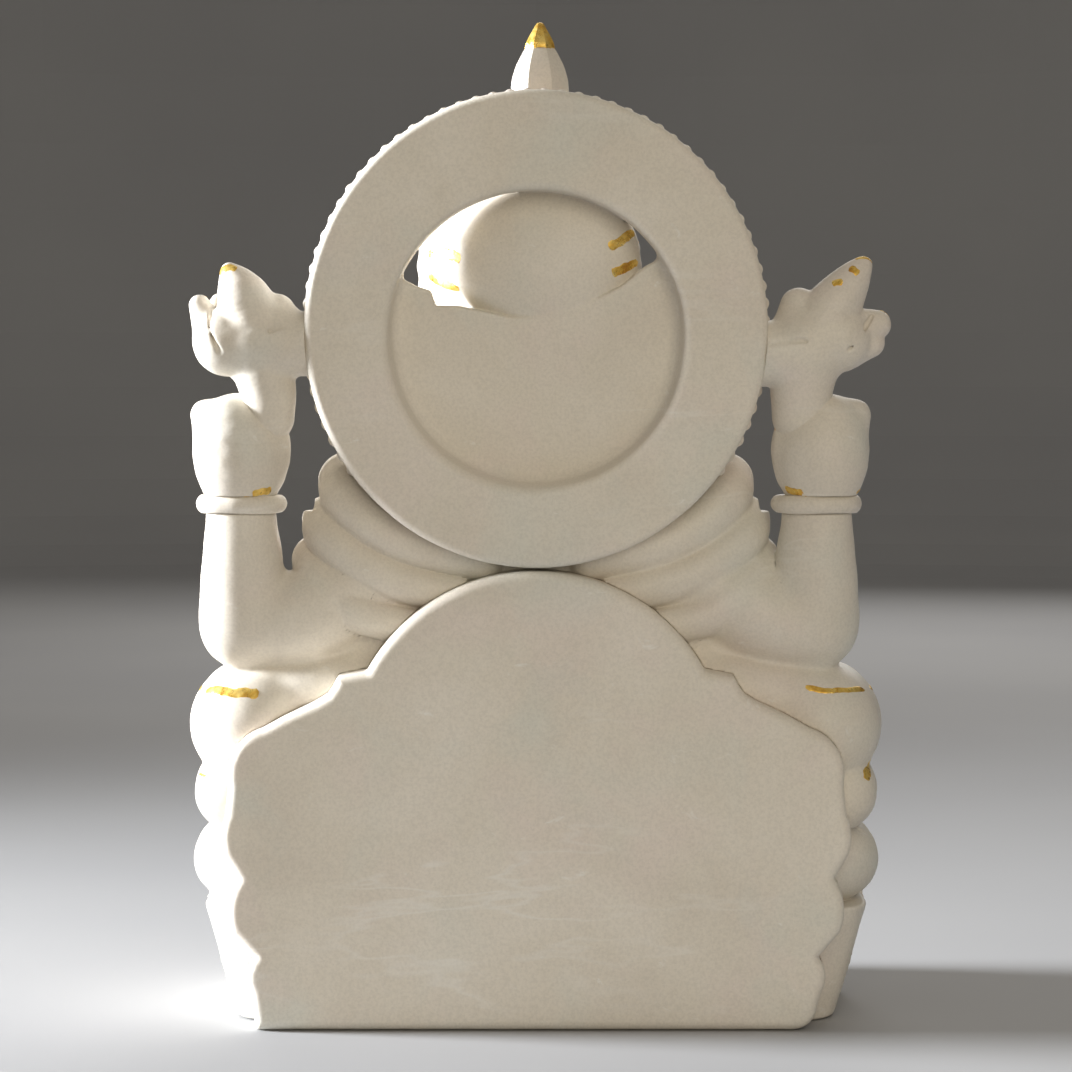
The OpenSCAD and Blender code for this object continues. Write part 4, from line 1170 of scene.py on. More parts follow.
def make_head():
    """Skull, cheeks, ears, eyes, the trunk curling to the idol's left, tusks and mouth."""
    head = Carving((-66, -57, 117), (66, 36, 222), 0.55)
    head.add("head", blob((0, 0, 195), (29, 27, 27)), 0)
    head.add("head", blob((0, 8, 210), (31, 25, 15)), 6)
    for side in (-1, 1):
        head.add("head", blob((12 * side, -10, 207), (15, 16, 14)), 3)
        head.add("head", limb([[20 * side, -8, 187, 13.5], [13 * side, -13, 178.5, 12.6]], 2), 5)
    head.add("head", limb([[-12, -14, 178, 12.4], [12, -14, 178, 12.4]], 1), 5)
    for side in (-1, 1):
        ear(head, side)
        eye(head, side)
    head.add("trunk", limb(TRUNK, 6), 4)
    head.add("trunk", limb([[36.5, -43.5, 134, 5.4], [36.2, -43.6, 137.2, 4.8],
                            [34.6, -44.4, 138.6, 3.4]], 3), 1.5)
    path = smooth(TRUNK, 8)
    for i in range(9, 50, 2):  # rings of wrinkles
        centre, ahead = path[i][:3], path[i + 1][:3] - path[i - 1][:3]
        head.carve(hoop(centre, ahead, path[i][3] + 0.55, 0.95), 1.0)
    head.carve(blob((33.4, -45.4, 140.6), (2.2, 1.3, 2.0)), 0.6)  # nostrils
    head.carve(blob((36.6, -44.6, 140.0), (1.4, 1.3, 2.0)), 0.6)
    head.add("left_tusk", limb([[11, -18, 181, 4.0], [15.4, -29.5, 175.4, 3.4], [17.6, -35.4, 172.6, 2.9],
                                [19.0, -39.0, 172.6, 1.5]], 4), 0.8)
    head.add("right_tusk", limb([[-11, -18, 181, 4.0], [-15, -28, 176, 3.4],
                                 [-16.4, -31.4, 174.6, 3.2]], 4), 0.8)
    head.carve(blob((-17.4, -34.2, 173.6), (3.6, 1.6, 3.6), (26, 0, -20)), 0.4)  # where it broke off
    for side in (-1, 1):  # a fold of skin round each tusk's root
        head.carve(hoop((12.8 * side, -22.6, 179), (0.45 * side, -1, -0.45), 5.0, 0.6), 0.8)
    mouth = [[15, -24.5, 172, 0.6], [8, -29.5, 167.5, 1.1], [0, -30, 166.4, 1.1], [-8, -29.5, 167.5, 1.1],
             [-15, -24.5, 172, 0.6]]
    head.carve(limb(mouth, 4), 1.0)
    head.hand_cut(0.12, 30, 0.9)
    head.stop_at(crown_shape(0.05))
    head.stop_at(limb([[-34, 18, 160, 15], [0, 16, 158, 21], [34, 18, 160, 15]], 3))
    head.stop_at(blob(*BELLY))
    head.stop_plane(1, WEB_LOW[1] - 0.1, 1)
    carve_out(head)


# ---- rear hands and lotuses -------------------------------------------------------------------------

def rear_hand(hands, side):
    """A fist round the lotus stem: a rounded back of the hand, four folded fingers in front, a thumb."""
    name = SIDES[side] + "rear_hand"
    out = 2.0 if side > 0 else -1.1

    def put(*rows):
        return sided(limb([[r[0] + out, *r[1:]] for r in rows], 5), side)

    hands.add(name, put([87, 39, 157, 10.2], [87, 39.6, 162, 10.6], [87.2, 41, 168, 13.0],
                        [87.4, 41, 174, 14.2], [88.4, 41.6, 179, 12.0]), 0)
    hands.add(name, put([95, 41, 181, 6.0], [97.4, 41, 184.4, 4.6]), 3)
    hands.add(name, put([78.6, 40, 167, 5.0], [76.6, 41.6, 174, 4.6], [77.6, 43, 181, 4.4],
                        [79, 43.4, 186, 4.2]), 2.2)
    for i in range(4):
        z = 181.6 - i * 5.2
        hands.add(name, put([97.6 - i * 0.5, 38.5, z, 4.1], [95, 31.8, z - 0.2, 4.0],
                            [88, 28.6, z - 0.6, 4.0], [80.4, 30.6, z - 1.0, 3.8],
                            [78.4, 34.2, z - 1.2, 3.5]), 0.9)
    for z in (179, 173.8, 168.6):
        hands.carve(put([99.4, 41.5, z, 0.5], [97.6, 33.2, z - 0.2, 0.8], [92, 26.4, z - 0.5, 0.6]), 0.8)


def left_lotus(hands):
    """A half-open bud: a broad pointed petal, a rounded one inside, a curled one outside, three in front."""
    def grow(blend, steps, *knots):
        hands.add("left_lotus", limb(knots, steps), blend)

    grow(0, 4, [80.6, 43, 184, 8.0], [80.4, 44, 191, 8.4], [81.6, 44.4, 197, 9.0])
    grow(2.5, 2, [77, 44.8, 206.4, 10.8], [92.4, 44.6, 206.6, 10.6])
    grow(1.6, 3, [84, 46, 205.6, 9.6], [74, 46.2, 205.6, 9.7], [66, 46.2, 206, 9.7])
    grow(1.2, 6, [84.4, 45, 211, 10.2], [87.2, 46, 218.5, 8.2], [89.6, 45.5, 223.5, 5.6],
         [91.8, 44.8, 227.6, 2.6])
    grow(1.4, 4, [78.4, 44.2, 211, 8.6], [77.6, 44.4, 215.4, 5.4])
    grow(0.9, 5, [94.6, 44, 207.6, 8.2], [99, 43.4, 213.4, 4.6], [101, 43.2, 217.4, 3.2])
    grow(0.9, 4, [94, 38, 205, 7.2], [96.6, 35.4, 213, 4.6], [96.2, 36.2, 219, 2.0])
    grow(0.9, 4, [84, 37, 206, 7.6], [82.6, 34.4, 214, 5.0], [84, 35.4, 221, 2.2])
    grow(0.9, 4, [89.4, 35, 204, 7.4], [89.6, 31.8, 211.4, 4.8], [89.8, 32.6, 218.4, 2.0])
    for path in ([[94, 54.8, 203.4, 0.4], [96.6, 52, 210, 0.8], [97, 47.4, 217, 0.7]],
                 [[68, 55.4, 212.6, 0.3], [74, 55.6, 211.8, 0.6], [79, 54.8, 209.4, 0.4]]):
        hands.carve(limb(path, 5), 1.2)


def right_lotus(hands):
    """A bud leaning outwards: a rounded inner petal, a long one rising to the tip, two lobes outside."""
    def grow(blend, *knots):
        hands.add("right_lotus", mirrored(limb(knots, 5)), blend)

    grow(0, [79.6, 43, 184, 8.6], [79.8, 44, 193, 9.6], [80.4, 44.4, 200, 10.8])
    grow(2.5, [80, 44.8, 206, 11.2], [90.4, 44.8, 207.6, 10.4])
    grow(1.6, [82, 46, 203.4, 9.8], [74, 46.2, 203, 9.8], [66, 46.2, 202.8, 9.9])
    grow(1.2, [86, 45, 212, 9.8], [91, 45.8, 219.6, 7.4], [95.2, 45.4, 225.6, 5.0], [97.8, 44.8, 229, 3.0])
    grow(1.2, [79.4, 44.4, 211, 8.2], [78.7, 44.6, 217.2, 5.5])
    grow(0.9, [92, 44, 208.6, 8.0], [99.6, 43.6, 210.8, 5.4], [102.4, 43.4, 211.6, 4.3])
    grow(0.8, [93, 44, 205, 7.0], [100, 43.8, 206.2, 4.7])
    grow(0.9, [93, 38, 206, 7.2], [95.4, 35.4, 213, 4.6], [95.2, 36.2, 219, 2.0])
    grow(0.9, [83, 37, 206, 7.6], [81.8, 34.4, 213, 5.0], [82.4, 35.4, 220, 2.2])
    grow(0.9, [88.4, 35, 204, 7.4], [88.6, 31.8, 211.4, 4.8], [89, 32.8, 218, 2.0])
    for path in ([[68, 55.6, 205.6, 0.3], [74, 56, 206.8, 0.6], [80, 55.6, 206.6, 0.4]],
                 [[93, 54, 204, 0.3], [97, 50.4, 209.4, 0.8], [100.4, 47, 214, 0.5]]):
        hands.carve(mirrored(limb(path, 5)), 1.2)


def make_rear_hands():
    """Each rear hand with the lotus it holds; a short bridge of stone joins the flower to the ring."""
    for side in (-1, 1):
        x = (65, 107) if side > 0 else (-107, -65)
        hands = Carving((x[0], 22, HAND_Z - 1), (x[1], 57, 232), 0.42)
        rear_hand(hands, side)
        (left_lotus if side > 0 else right_lotus)(hands)
        hands.hand_cut(0.13, 21, 0.5 + side)
        hands.stop_at(ring_shape())
        hands.stop_plane(2, HAND_Z, -1)
        carve_out(hands)


def make_rear_bracelets():
    """A plain rounded collar between forearm and hand, with knocked, slightly knobby ends."""
    for side in (-1, 1):
        node = SIDES[side] + "rear_bracelet"
        low, high = node_box(node)
        centre, height = (low + high) / 2, high[2] - low[2]
        bar = height / 2
        reach = (high[0] - low[0]) / 2 - bar
        rings = []
        for level in np.radians(np.arange(-60, 61, 15)):
            up, grow = math.sin(level) / math.sqrt(3), math.cos(level)
            ring = []
            for a in np.linspace(0, 2 * math.pi, 96, endpoint=False):
                knob = 1 + 0.10 * ripple(2.2 * a + side, 3.1 * a) + 0.12 * max(0, math.cos(2 * a)) ** 6
                r = reach + bar * grow * knob
                ring.append((centre[0] + r * math.cos(a), centre[1] + r * math.sin(a),
                             centre[2] + height * up * (1 + 0.05 * math.sin(3 * a + side))))
            rings.append(ring)
        make_marble(node, *loft(rings))


# ---- crown ------------------------------------------------------------------------------------------

def finial_ring(z, radius, centre, count=96):
    """An eight-sided ring with softened edges."""
    ring = []
    for a in np.linspace(0, 2 * math.pi, count, endpoint=False):
        facet = math.cos(math.pi / 8) / math.cos((a + math.pi / 8) % (math.pi / 4) - math.pi / 8)
        r = radius * (0.93 * facet + 0.07 * 0.97)
        ring.append((centre[0] + r * math.cos(a), centre[1] + r * math.sin(a), z))
    return ring


def make_finial():
    """The eight-sided bud on the crown, and its tip, gilded down to an uneven edge."""
    centre = (FINIAL_LOW + FINIAL_HIGH) / 2
    foot = FINIAL_LOW[2]
    # profiles of (height, radius)
    bud = [(foot, 9.0), (foot + 0.8, 9.5), (foot + 3.4, 9.6), (foot + 6, 9.35), (foot + 8.4, 8.7),
           (foot + 10.6, 7.9), (foot + 12.8, 6.75), (foot + 15, 5.5), (TIP_LOW[2], 4.75)]
    path = smooth([[z, r, 0, 0] for z, r in bud], 3)
    make_marble("crown_finial", *loft([finial_ring(z, r, centre) for z, r in path[:, :2]]))
    tip = [(TIP_LOW[2], 4.9), (TIP_LOW[2] + 1.6, 4.5), (TIP_LOW[2] + 3.6, 3.5), (TIP_LOW[2] + 5.6, 2.3),
           (TIP_HIGH[2] - 1.0, 1.5), (TIP_HIGH[2] - 0.3, 0.95), (TIP_HIGH[2], 0.3)]
    rings = []
    for z, r in smooth([[z, r, 0, 0] for z, r in tip], 3)[:, :2]:
        ring = finial_ring(z, r + 0.12, centre)
        rings.append([(x, y, z - (1.3 * max(0, ripple(a * 0.4, a * 0.23)) if z < TIP_LOW[2] + 1 else 0))
                      for a, (x, y, z) in enumerate(ring)])
    make_piece("finial_gilding_paint", "finial_gilding", GOLD, "gold_paint", *loft(rings))


# ---- front hands, bowl, sweets, mouse ---------------------------------------------------------------

BOWL_LOW, BOWL_HIGH = node_box("laddu_bowl")
BOWL_X, BOWL_Y = (BOWL_LOW[0] + BOWL_HIGH[0]) / 2, (BOWL_LOW[1] + BOWL_HIGH[1]) / 2
BOWL_Z = BOWL_LOW[2]


def bowl_radius(z):
    return np.interp(z - BOWL_Z, [0, 1.2, 2.4, 4, 6.5, 9], [7.0, 7.4, 7.2, 9.2, 11.4, 12.5])


def bowl_block():
    """The bowl's outside, for the hand to stop at."""
    def at(x, y, z, pad):
        r = np.sqrt(((x - BOWL_X) ** 2)[:, None, None] + ((y - BOWL_Y) ** 2)[None, :, None])
        return np.maximum(r - bowl_radius(z)[None, None, :], (BOWL_Z - z)[None, None, :]).astype(np.float32)

    return BOWL_LOW, BOWL_HIGH + np.array([0, 0, 6]), at


def make_left_front_hand():
    """Palm up under the bowl, with the fingers curled round its front and the thumb at its side."""
    hand = Carving((22, -57, 99), (60, -30, 122), 0.4)
    name = "left_front_hand"
    hand.add(name, limb([[50, -34, 108.4, 7.2], [47, -38, 106.6, 6.4], [43, -42, 105.4, 5.6]], 4), 0)
    hand.add(name, blob((42.4, -42.4, 105.8), (9.4, 8.0, 4.4), (0, 0, 20)), 2.5)
    for i in range(4):
        hand.add(name, limb([[43 - i * 2.6, -46.4 + i * 3.2, 106.6, 3.3],
                             [36.4 - i * 2.3, -49.4 + i * 4.1, 107.6, 3.0],
                             [32.6 - i * 1.8, -49.6 + i * 4.4, 110.4, 2.7],
                             [31.4 - i * 1.4, -48.8 + i * 4.3, 113.4, 2.3]], 4), 0.8)
    hand.add(name, limb([[50, -42, 108.4, 3.9], [54, -48, 110.4, 3.4], [56.4, -50.4, 114, 2.9],
                         [56.4, -50.2, 117.2, 2.4]], 4), 1.4)
    hand.hand_cut(0.08, 12, 0.2)
    hand.stop_at(bowl_block())
    hand.stop_at(limb(LEFT_FOREARM, 5))
    carve_out(hand)


def make_right_front_hand():
    """Raised in blessing: palm to the front, four fingers up, the thumb a little apart."""
    hand = Carving((-58, -50, 134), (-28, -31, 170), 0.4)
    name = "right_front_hand"
    hand.add(name, limb([[-47, -35, 138, 7.0], [-45.6, -37, 143, 6.4]], 3), 0)
    hand.add(name, blob((-44.8, -39, 147.6), (9.0, 4.6, 8.6), (6, 0, 0)), 2.5)
    for i in range(4):
        x, top = -51.2 + i * 4.35, 165.4 - abs(i - 1.6) * 1.4
        hand.add(name, limb([[x, -39.6, 151.4, 2.75], [x - 0.4 + i * 0.15, -40.8, 157.6, 2.5],
                             [x - 0.5 + i * 0.15, -41, 161.6, 2.45], [x - 0.3, -40.6, top, 2.05]], 4), 0.6)
        for z in (155.4, 160.6):
            crease = [[x - 2.4, -43.2, z, 0.3], [x, -43.8, z - 0.2, 0.5], [x + 2.4, -43.2, z, 0.3]]
            hand.carve(limb(crease, 2), 0.6)
    hand.add(name, limb([[-38.4, -39.4, 144.4, 3.6], [-35, -42.6, 149.4, 3.1], [-33.6, -43.6, 153.4, 2.7],
                         [-33.4, -43.4, 156, 2.2]], 4), 1.4)
    hand.add(name, blob((-39.6, -42.4, 146.4), (4.2, 2.4, 5.0), (0, 20, 0)), 1.8)
    for path in ([[-52, -43, 147.6, 0.3], [-46, -44.2, 148.4, 0.6], [-40, -44.4, 151.2, 0.3]],
                 [[-51, -43, 144.6, 0.3], [-45, -44.4, 145.2, 0.6], [-41.4, -45, 149, 0.3]]):
        hand.carve(limb(path, 4), 0.6)
    hand.hand_cut(0.08, 12, 0.9)
    hand.stop_at(mirrored(limb(RIGHT_FOREARM, 5)))
    carve_out(hand)


def make_bowl():
    """A fluted bowl on a foot ring, hollow inside, with a beaded lip."""
    turns = np.linspace(0, 2 * math.pi, 160, endpoint=False)
    top = BOWL_HIGH[2] - BOWL_Z
    # outside, lip and inside, as (height, radius, depth of the flutes)
    profile = [(0, 5.8, 0), (0, 6.8, 0), (0.5, 7.3, 0), (1.3, 7.3, 0), (2.0, 6.9, 0), (2.8, 7.6, 0.4),
               (4.2, 9.3, 1), (5.6, 10.6, 1), (7, 11.5, 0.8), (7.7, 11.9, 0), (8.0, 12.4, 0.6),
               (8.6, 12.5, 0.6), (top, 12.1, 0.3), (top, 11.5, 0), (7.9, 11.0, 0), (6.6, 10.1, 0),
               (5.4, 8.6, 0), (4.6, 6.4, 0), (4.4, 3, 0)]
    rings = []
    for up, r, flute in profile:
        ring = []
        for a in turns:
            bump = 0.28 * flute * math.cos(20 * a) + 0.06 * ripple(5 * a, up)
            ring.append((BOWL_X + (r + bump) * math.cos(a), BOWL_Y + (r + bump) * math.sin(a), BOWL_Z + up))
        rings.append(ring)
    make_piece("laddu_bowl_painted", "laddu_bowl", GOLD, "gold_paint", *loft(rings))


def make_laddus():
    """A heap of round grainy sweets that fills the bowl: six in a ring and one on top."""
    low, high = node_box("laddus")
    reach = 11.6
    heap = Carving((BOWL_X - reach, BOWL_Y - reach, BOWL_Z + 5.4),
                   (BOWL_X + reach, BOWL_Y + reach, high[2] + 0.5), 0.36)
    heap.add("laddus", blob((BOWL_X, BOWL_Y, low[2] - 0.4), (9.6, 9.6, 2.4)), 0)
    for i in range(6):
        a = math.radians(60 * i + 7 * math.sin(i * 2.3))
        r = 3.45 + 0.15 * math.sin(i * 1.9)
        centre = BOWL_X + 6.9 * math.cos(a), BOWL_Y + 6.9 * math.sin(a), low[2] + 2.4
        heap.add("laddus", blob(centre, (r, r, r)), 0.5)
    heap.add("laddus", blob((BOWL_X + 0.3, BOWL_Y, high[2] - 4.2), (4.0, 4.1, 4.0)), 0.5)
    heap.hand_cut(0.16, 2.3, 0.7)
    carve_out(heap)


MOUSE_X = -55


def make_mouse():
    """The small mouse on the seat's edge: looking up, round ears, a sweet in its paws, its tail beside it."""
    mouse = Carving((-70, -57, CUSHION_TOP - 4), (-42, -33, 79), 0.33)
    mouse.add("mouse", limb([[-51.6, -41.4, 64.2, 5.8], [-53.6, -44.2, 66.4, 5.2], [-54.8, -47.4, 69.6, 4.1],
                             [-55.4, -50.8, 70.6, 2.5], [-55.7, -53.2, 70.3, 1.3]], 5), 0)
    mouse.add("mouse", blob((-54.8, -48.6, 71.2), (3.4, 3.2, 3.0)), 1)
    for s in (-1, 1):
        mouse.add("mouse", blob((-53 + s * 4.4, -43.4, 62.8), (2.8, 4.2, 3.6)), 0.8)
        foot_path = [[-53.4 + s * 4.8, -47, 60.8, 1.5], [-53.6 + s * 4.6, -50, 60.7, 1.3]]
        mouse.add("mouse", limb(foot_path, 2), 0.5)
        mouse.add("mouse", limb([[-54.4 + s * 3.6, -47.6, 67, 1.9], [MOUSE_X + s * 3.2, -50.4, 66, 1.4],
                                 [MOUSE_X + s * 1.8, -52.2, 65.8, 1.1]], 3), 0.5)
        mouse.add("mouse", blob((MOUSE_X + s * 3.2, -46.8, 74.2), (2.5, 1.1, 2.7), (0, 12 * s, 12 * s)), 0.6)
        mouse.carve(blob((MOUSE_X + s * 3.2, -48.1, 74.3), (1.6, 0.8, 1.8), (0, 12 * s, 12 * s)), 0.5)
        mouse.carve(blob((MOUSE_X + s * 1.9, -51.0, 72.2), (0.55, 0.5, 0.6)), 0.2)
    mouse.add("mouse", blob((-55.1, -52.8, 65.2), (2.1, 1.9, 2.0)), 0.3)
    mouse.add("mouse", limb([[-50, -38.6, 61.6, 1.6], [-60, -39.6, 61.4, 1.4], [-65.4, -43, 61.2, 1.2],
                             [-65, -46.6, 61.1, 0.9], [-62, -47.6, 61.1, 0.7]], 6), 0.6)
    mouse.carve(limb([[-57, -52.9, 69.5, 0.2], [-55.6, -53.9, 69.3, 0.3], [-54.2, -52.9, 69.5, 0.2]], 2), 0.2)
    mouse.hand_cut(0.06, 7, 0.5)
    mouse.stop_at(cushion_shape())
    mouse.stop_at(mirrored(limb(RIGHT_SHIN, 5)))
    carve_out(mouse)


# ---- paint and strings of beads that lie on the stone -----------------------------------------------

TREES = {}


def nearest(point, targets):
    """Closest point of the named pieces to a point, and the surface's direction there (millimetres)."""
    best = None
    for name in targets:
        if name not in TREES:
            mesh = MADE[name].data
            points = np.empty(len(mesh.vertices) * 3, np.float32)
            mesh.vertices.foreach_get("co", points)
            faces = np.empty(len(mesh.loops), np.int32)
            mesh.loops.foreach_get("vertex_index", faces)
            points = points.reshape(-1, 3) / MM
            TREES[name] = BVHTree.FromPolygons(points.tolist(), faces.reshape(-1, 4).tolist())
        place, normal, _, away = TREES[name].find_nearest(Vector(point))
        if best is None or away < best[2]:
            best = (np.array(place), np.array(normal), away)
    return best[0], best[1]


ACROSS = 7  # points across a brush stroke


def brush_rings(path, width, targets, seed):
    """A brush stroke as rings: a thin wobbly-edged skin of paint just proud of the surface, sunk edges."""
    points = smooth([[*p, 0] for p in path], 7)[:, :3]
    rings = []
    for i, p in enumerate(points):
        ahead = points[min(i + 1, len(points) - 1)] - points[max(i - 1, 0)]
        spot, normal = nearest(p, targets)
        side = np.cross(normal, ahead)
        side /= max(np.linalg.norm(side), 1e-6)
        t = i / (len(points) - 1)
        swell = min(1.0, (min(t, 1 - t) * 9 + 0.22)) ** 0.6
        half = width / 2 * swell * (1 + 0.22 * ripple(i * 0.9 + seed, i * 0.31))
        shift = 0.16 * width * ripple(i * 0.7, seed + i * 0.2)
        outer, inner = [], []
        for j in range(ACROSS):
            u = 2 * j / (ACROSS - 1) - 1
            q, n = nearest(spot + side * (half * u + shift), targets)
            n = n if n @ normal > 0 else normal
            outer.append(q + n * (0.16 * (1 - u ** 4) - 0.03))
            inner.append(q - n * 0.5)
        rings.append(outer + inner[::-1])
    return rings


def join(shapes):
    """Several (points, faces) as one."""
    points, faces = [], []
    for p, f in shapes:
        faces += [tuple(len(points) + v for v in face) for face in f]
        points += list(p)
    return points, faces


def paint(node, strokes, material=GOLD, slot="gold_paint"):
    """Paints strokes of (path, width, pieces painted on); together they stand for one CAD node."""
    skins = [loft(brush_rings(path, width, [t + "_carving" for t in targets], k * 1.7))
             for k, (path, width, targets) in enumerate(strokes)]
    make_piece(node + "_paint", node, material, slot, *join(skins))


def string(node, shapes):
    """Carved ropes and beads, gilded; together they stand for one CAD node."""
    make_piece(node + "_cord", node, GOLD, "gold_paint", *join(shapes))


def rope(path, radius, strands, lay, steps=4):
    """A carved twisted rope along a path: (points, faces). lay is the length of one full twist."""
    points = smooth([[*p, 0] for p in path], steps)[:, :3]
    walked = np.concatenate([[0], np.cumsum(np.linalg.norm(np.diff(points, axis=0), axis=1))])
    count = max(8, int(walked[-1] / (0.5 * COARSE)))
    at = np.linspace(0, walked[-1], count)
    line = np.stack([np.interp(at, walked, points[:, k]) for k in range(3)], 1)
    rings, normal = [], None
    for i, p in enumerate(line):
        ahead = line[min(i + 1, count - 1)] - line[max(i - 1, 0)]
        ahead /= np.linalg.norm(ahead)
        normal = np.cross(ahead, [0.1, 0.2, 1]) if normal is None else normal - ahead * (normal @ ahead)
        normal /= np.linalg.norm(normal)
        other = np.cross(ahead, normal)
        end = min(1.0, 0.35 + 1.2 * min(i, count - 1 - i) / 3)
        ring = []
        for a in np.linspace(0, 2 * math.pi, 20, endpoint=False):
            r = radius * end * (1 + 0.2 * abs(math.cos(strands / 2 * (a - 2 * math.pi * at[i] / lay))) - 0.12)
            ring.append(p + normal * r * math.cos(a) + other * r * math.sin(a))
        rings.append(ring)
    return loft(rings)


def bead(centre, radius, axis):
    """One carved bead: a little barrel with a waist line, its hole's ends dimpled."""
    n = np.array(axis, float) / np.linalg.norm(axis)
    u = np.cross(n, [0.3, 0.2, 0.9])
    u /= np.linalg.norm(u)
    v = np.cross(n, u)
    rings = []
    for up, r in ((-0.78, 0.25), (-0.92, 0.5), (-0.7, 0.8), (-0.3, 1.0), (0, 0.94), (0.3, 1.0), (0.7, 0.8),
                  (0.92, 0.5), (0.78, 0.25)):
        rings.append([centre + n * up * radius + (u * math.cos(a) + v * math.sin(a)) * r * radius
                      for a in np.linspace(0, 2 * math.pi, 14, endpoint=False)])
    return loft(rings)


def laid(path, targets, lift, steps=8):
    """A path's points moved onto the stone and lifted off it by lift."""
    rows = []
    for p in smooth([[*q, 0] for q in path], steps)[:, :3]:
        spot, normal = nearest(p, targets)
        rows.append(spot + normal * lift)
    return np.array(rows)


def spaced(path, gap):
    """Points at even distances along a path, each with the path's direction there."""
    walked = np.concatenate([[0], np.cumsum(np.linalg.norm(np.diff(path, axis=0), axis=1))])
    at = np.linspace(0, walked[-1], max(2, int(walked[-1] / gap)))
    points = np.stack([np.interp(at, walked, path[:, k]) for k in range(3)], 1)
    return [(p, points[min(i + 1, len(points) - 1)] - points[max(i - 1, 0)]) for i, p in enumerate(points)]


def bar_ring(centre, axis, radius, first=0, last=360, steps=48):
    """Points of an arc about an axis, from angle first to last, measured from straight up."""
    n = np.array(axis, float) / np.linalg.norm(axis)
    up = np.array([0, 0, 1.0]) - n * n[2]
    up /= np.linalg.norm(up)
    other = np.cross(n, up)
    t = np.radians(np.linspace(first, last, steps))
    return [np.array(centre) + (up * math.cos(a) + other * math.sin(a)) * radius for a in t]


def make_necklace():
    """A twisted collar over the chest with a row of beads and drops hung from it."""
    chest = ["torso_carving", "belly_carving", "left_front_upper_arm_carving",
             "right_front_upper_arm_carving"]
    line = [(33, -8, 168), (27, -20, 157), (15, -24, 150.6), (0, -25, 147.6), (-15, -24, 150.6),
            (-27, -20, 157), (-33, -8, 168)]
    shapes = [rope(laid(line, chest, 0.7), 1.5, 3, 7, 1)]
    low = [(x * 0.98, y - 0.5, z - 3.6 + 0.02 * abs(x)) for x, y, z in line[1:-1]]
    for i, (p, ahead) in enumerate(spaced(laid(low, chest, 0.8), 3.0)):
        shapes.append(bead(p, 1.5, ahead))
        if i % 2 == 0:
            q, n = nearest(p + np.array([0, -0.5, -3.4]), chest)
            shapes.append(bead(q + n * 0.7, 1.15, (0, -0.2, 1)))
    string("necklace", shapes)


def make_belt():
    """A twisted rope round the belly with a row of beads under it."""
    skin = ["belly_carving"]
    t = np.radians(np.linspace(197, 343, 19))
    line = [(40 * math.cos(a), -7 + 30 * math.sin(a), 127.4 + 1.6 * math.cos(a) ** 2) for a in t]
    shapes = [rope(laid(line, skin, 0.6, 2), 1.5, 3, 6.5, 1)]
    for p, ahead in spaced(laid([(x, y, z - 2.9) for x, y, z in line], skin, 0.35, 2), 2.6):
        shapes.append(bead(p, 1.05, ahead))
    string("belly_belt", shapes)


def make_anklets():
    """Two bead anklets; only the part of each that is clear of the other leg is carved."""
    shapes = []
    for centre, axis, radius, first, last in (((7, -44.9, 69.8), (-1, 0, 0), 8.8, -112, 150),
                                              ((-9.6, -30.6, 85.2), (1, 0, 0.2), 8.8, -150, 84)):
        arc_points = np.array(bar_ring(centre, axis, radius, first, last))
        shapes.append(rope(arc_points, 0.9, 3, 5, 1))
        n = np.array(axis, float) / np.linalg.norm(axis)
        for side in (-1.5, 1.5):
            for p, ahead in spaced(arc_points + n * side, 2.5):
                shapes.append(bead(p, 1.0, ahead))
    string("anklets", shapes)


def make_front_bracelets():
    """A pair of twisted bangles with a row of beads between them on each front wrist."""
    for node, centre, axis in (("left_front_bracelet", (51.2, -31.5, 109.4), (-5, -5, -1.6)),
                               ("right_front_bracelet", (-48.2, -33.8, 136.4), (6, -5, 7))):
        n = np.array(axis, float) / np.linalg.norm(axis)
        circle = np.array(bar_ring(centre, axis, 8.7, 0, 352, 64))
        shapes = [rope(circle + n * side, 1.0, 3, 5, 1) for side in (-1.7, 1.7)]
        shapes += [bead(p, 1.15, ahead) for p, ahead in spaced(circle, 2.5)]
        string(node, shapes)


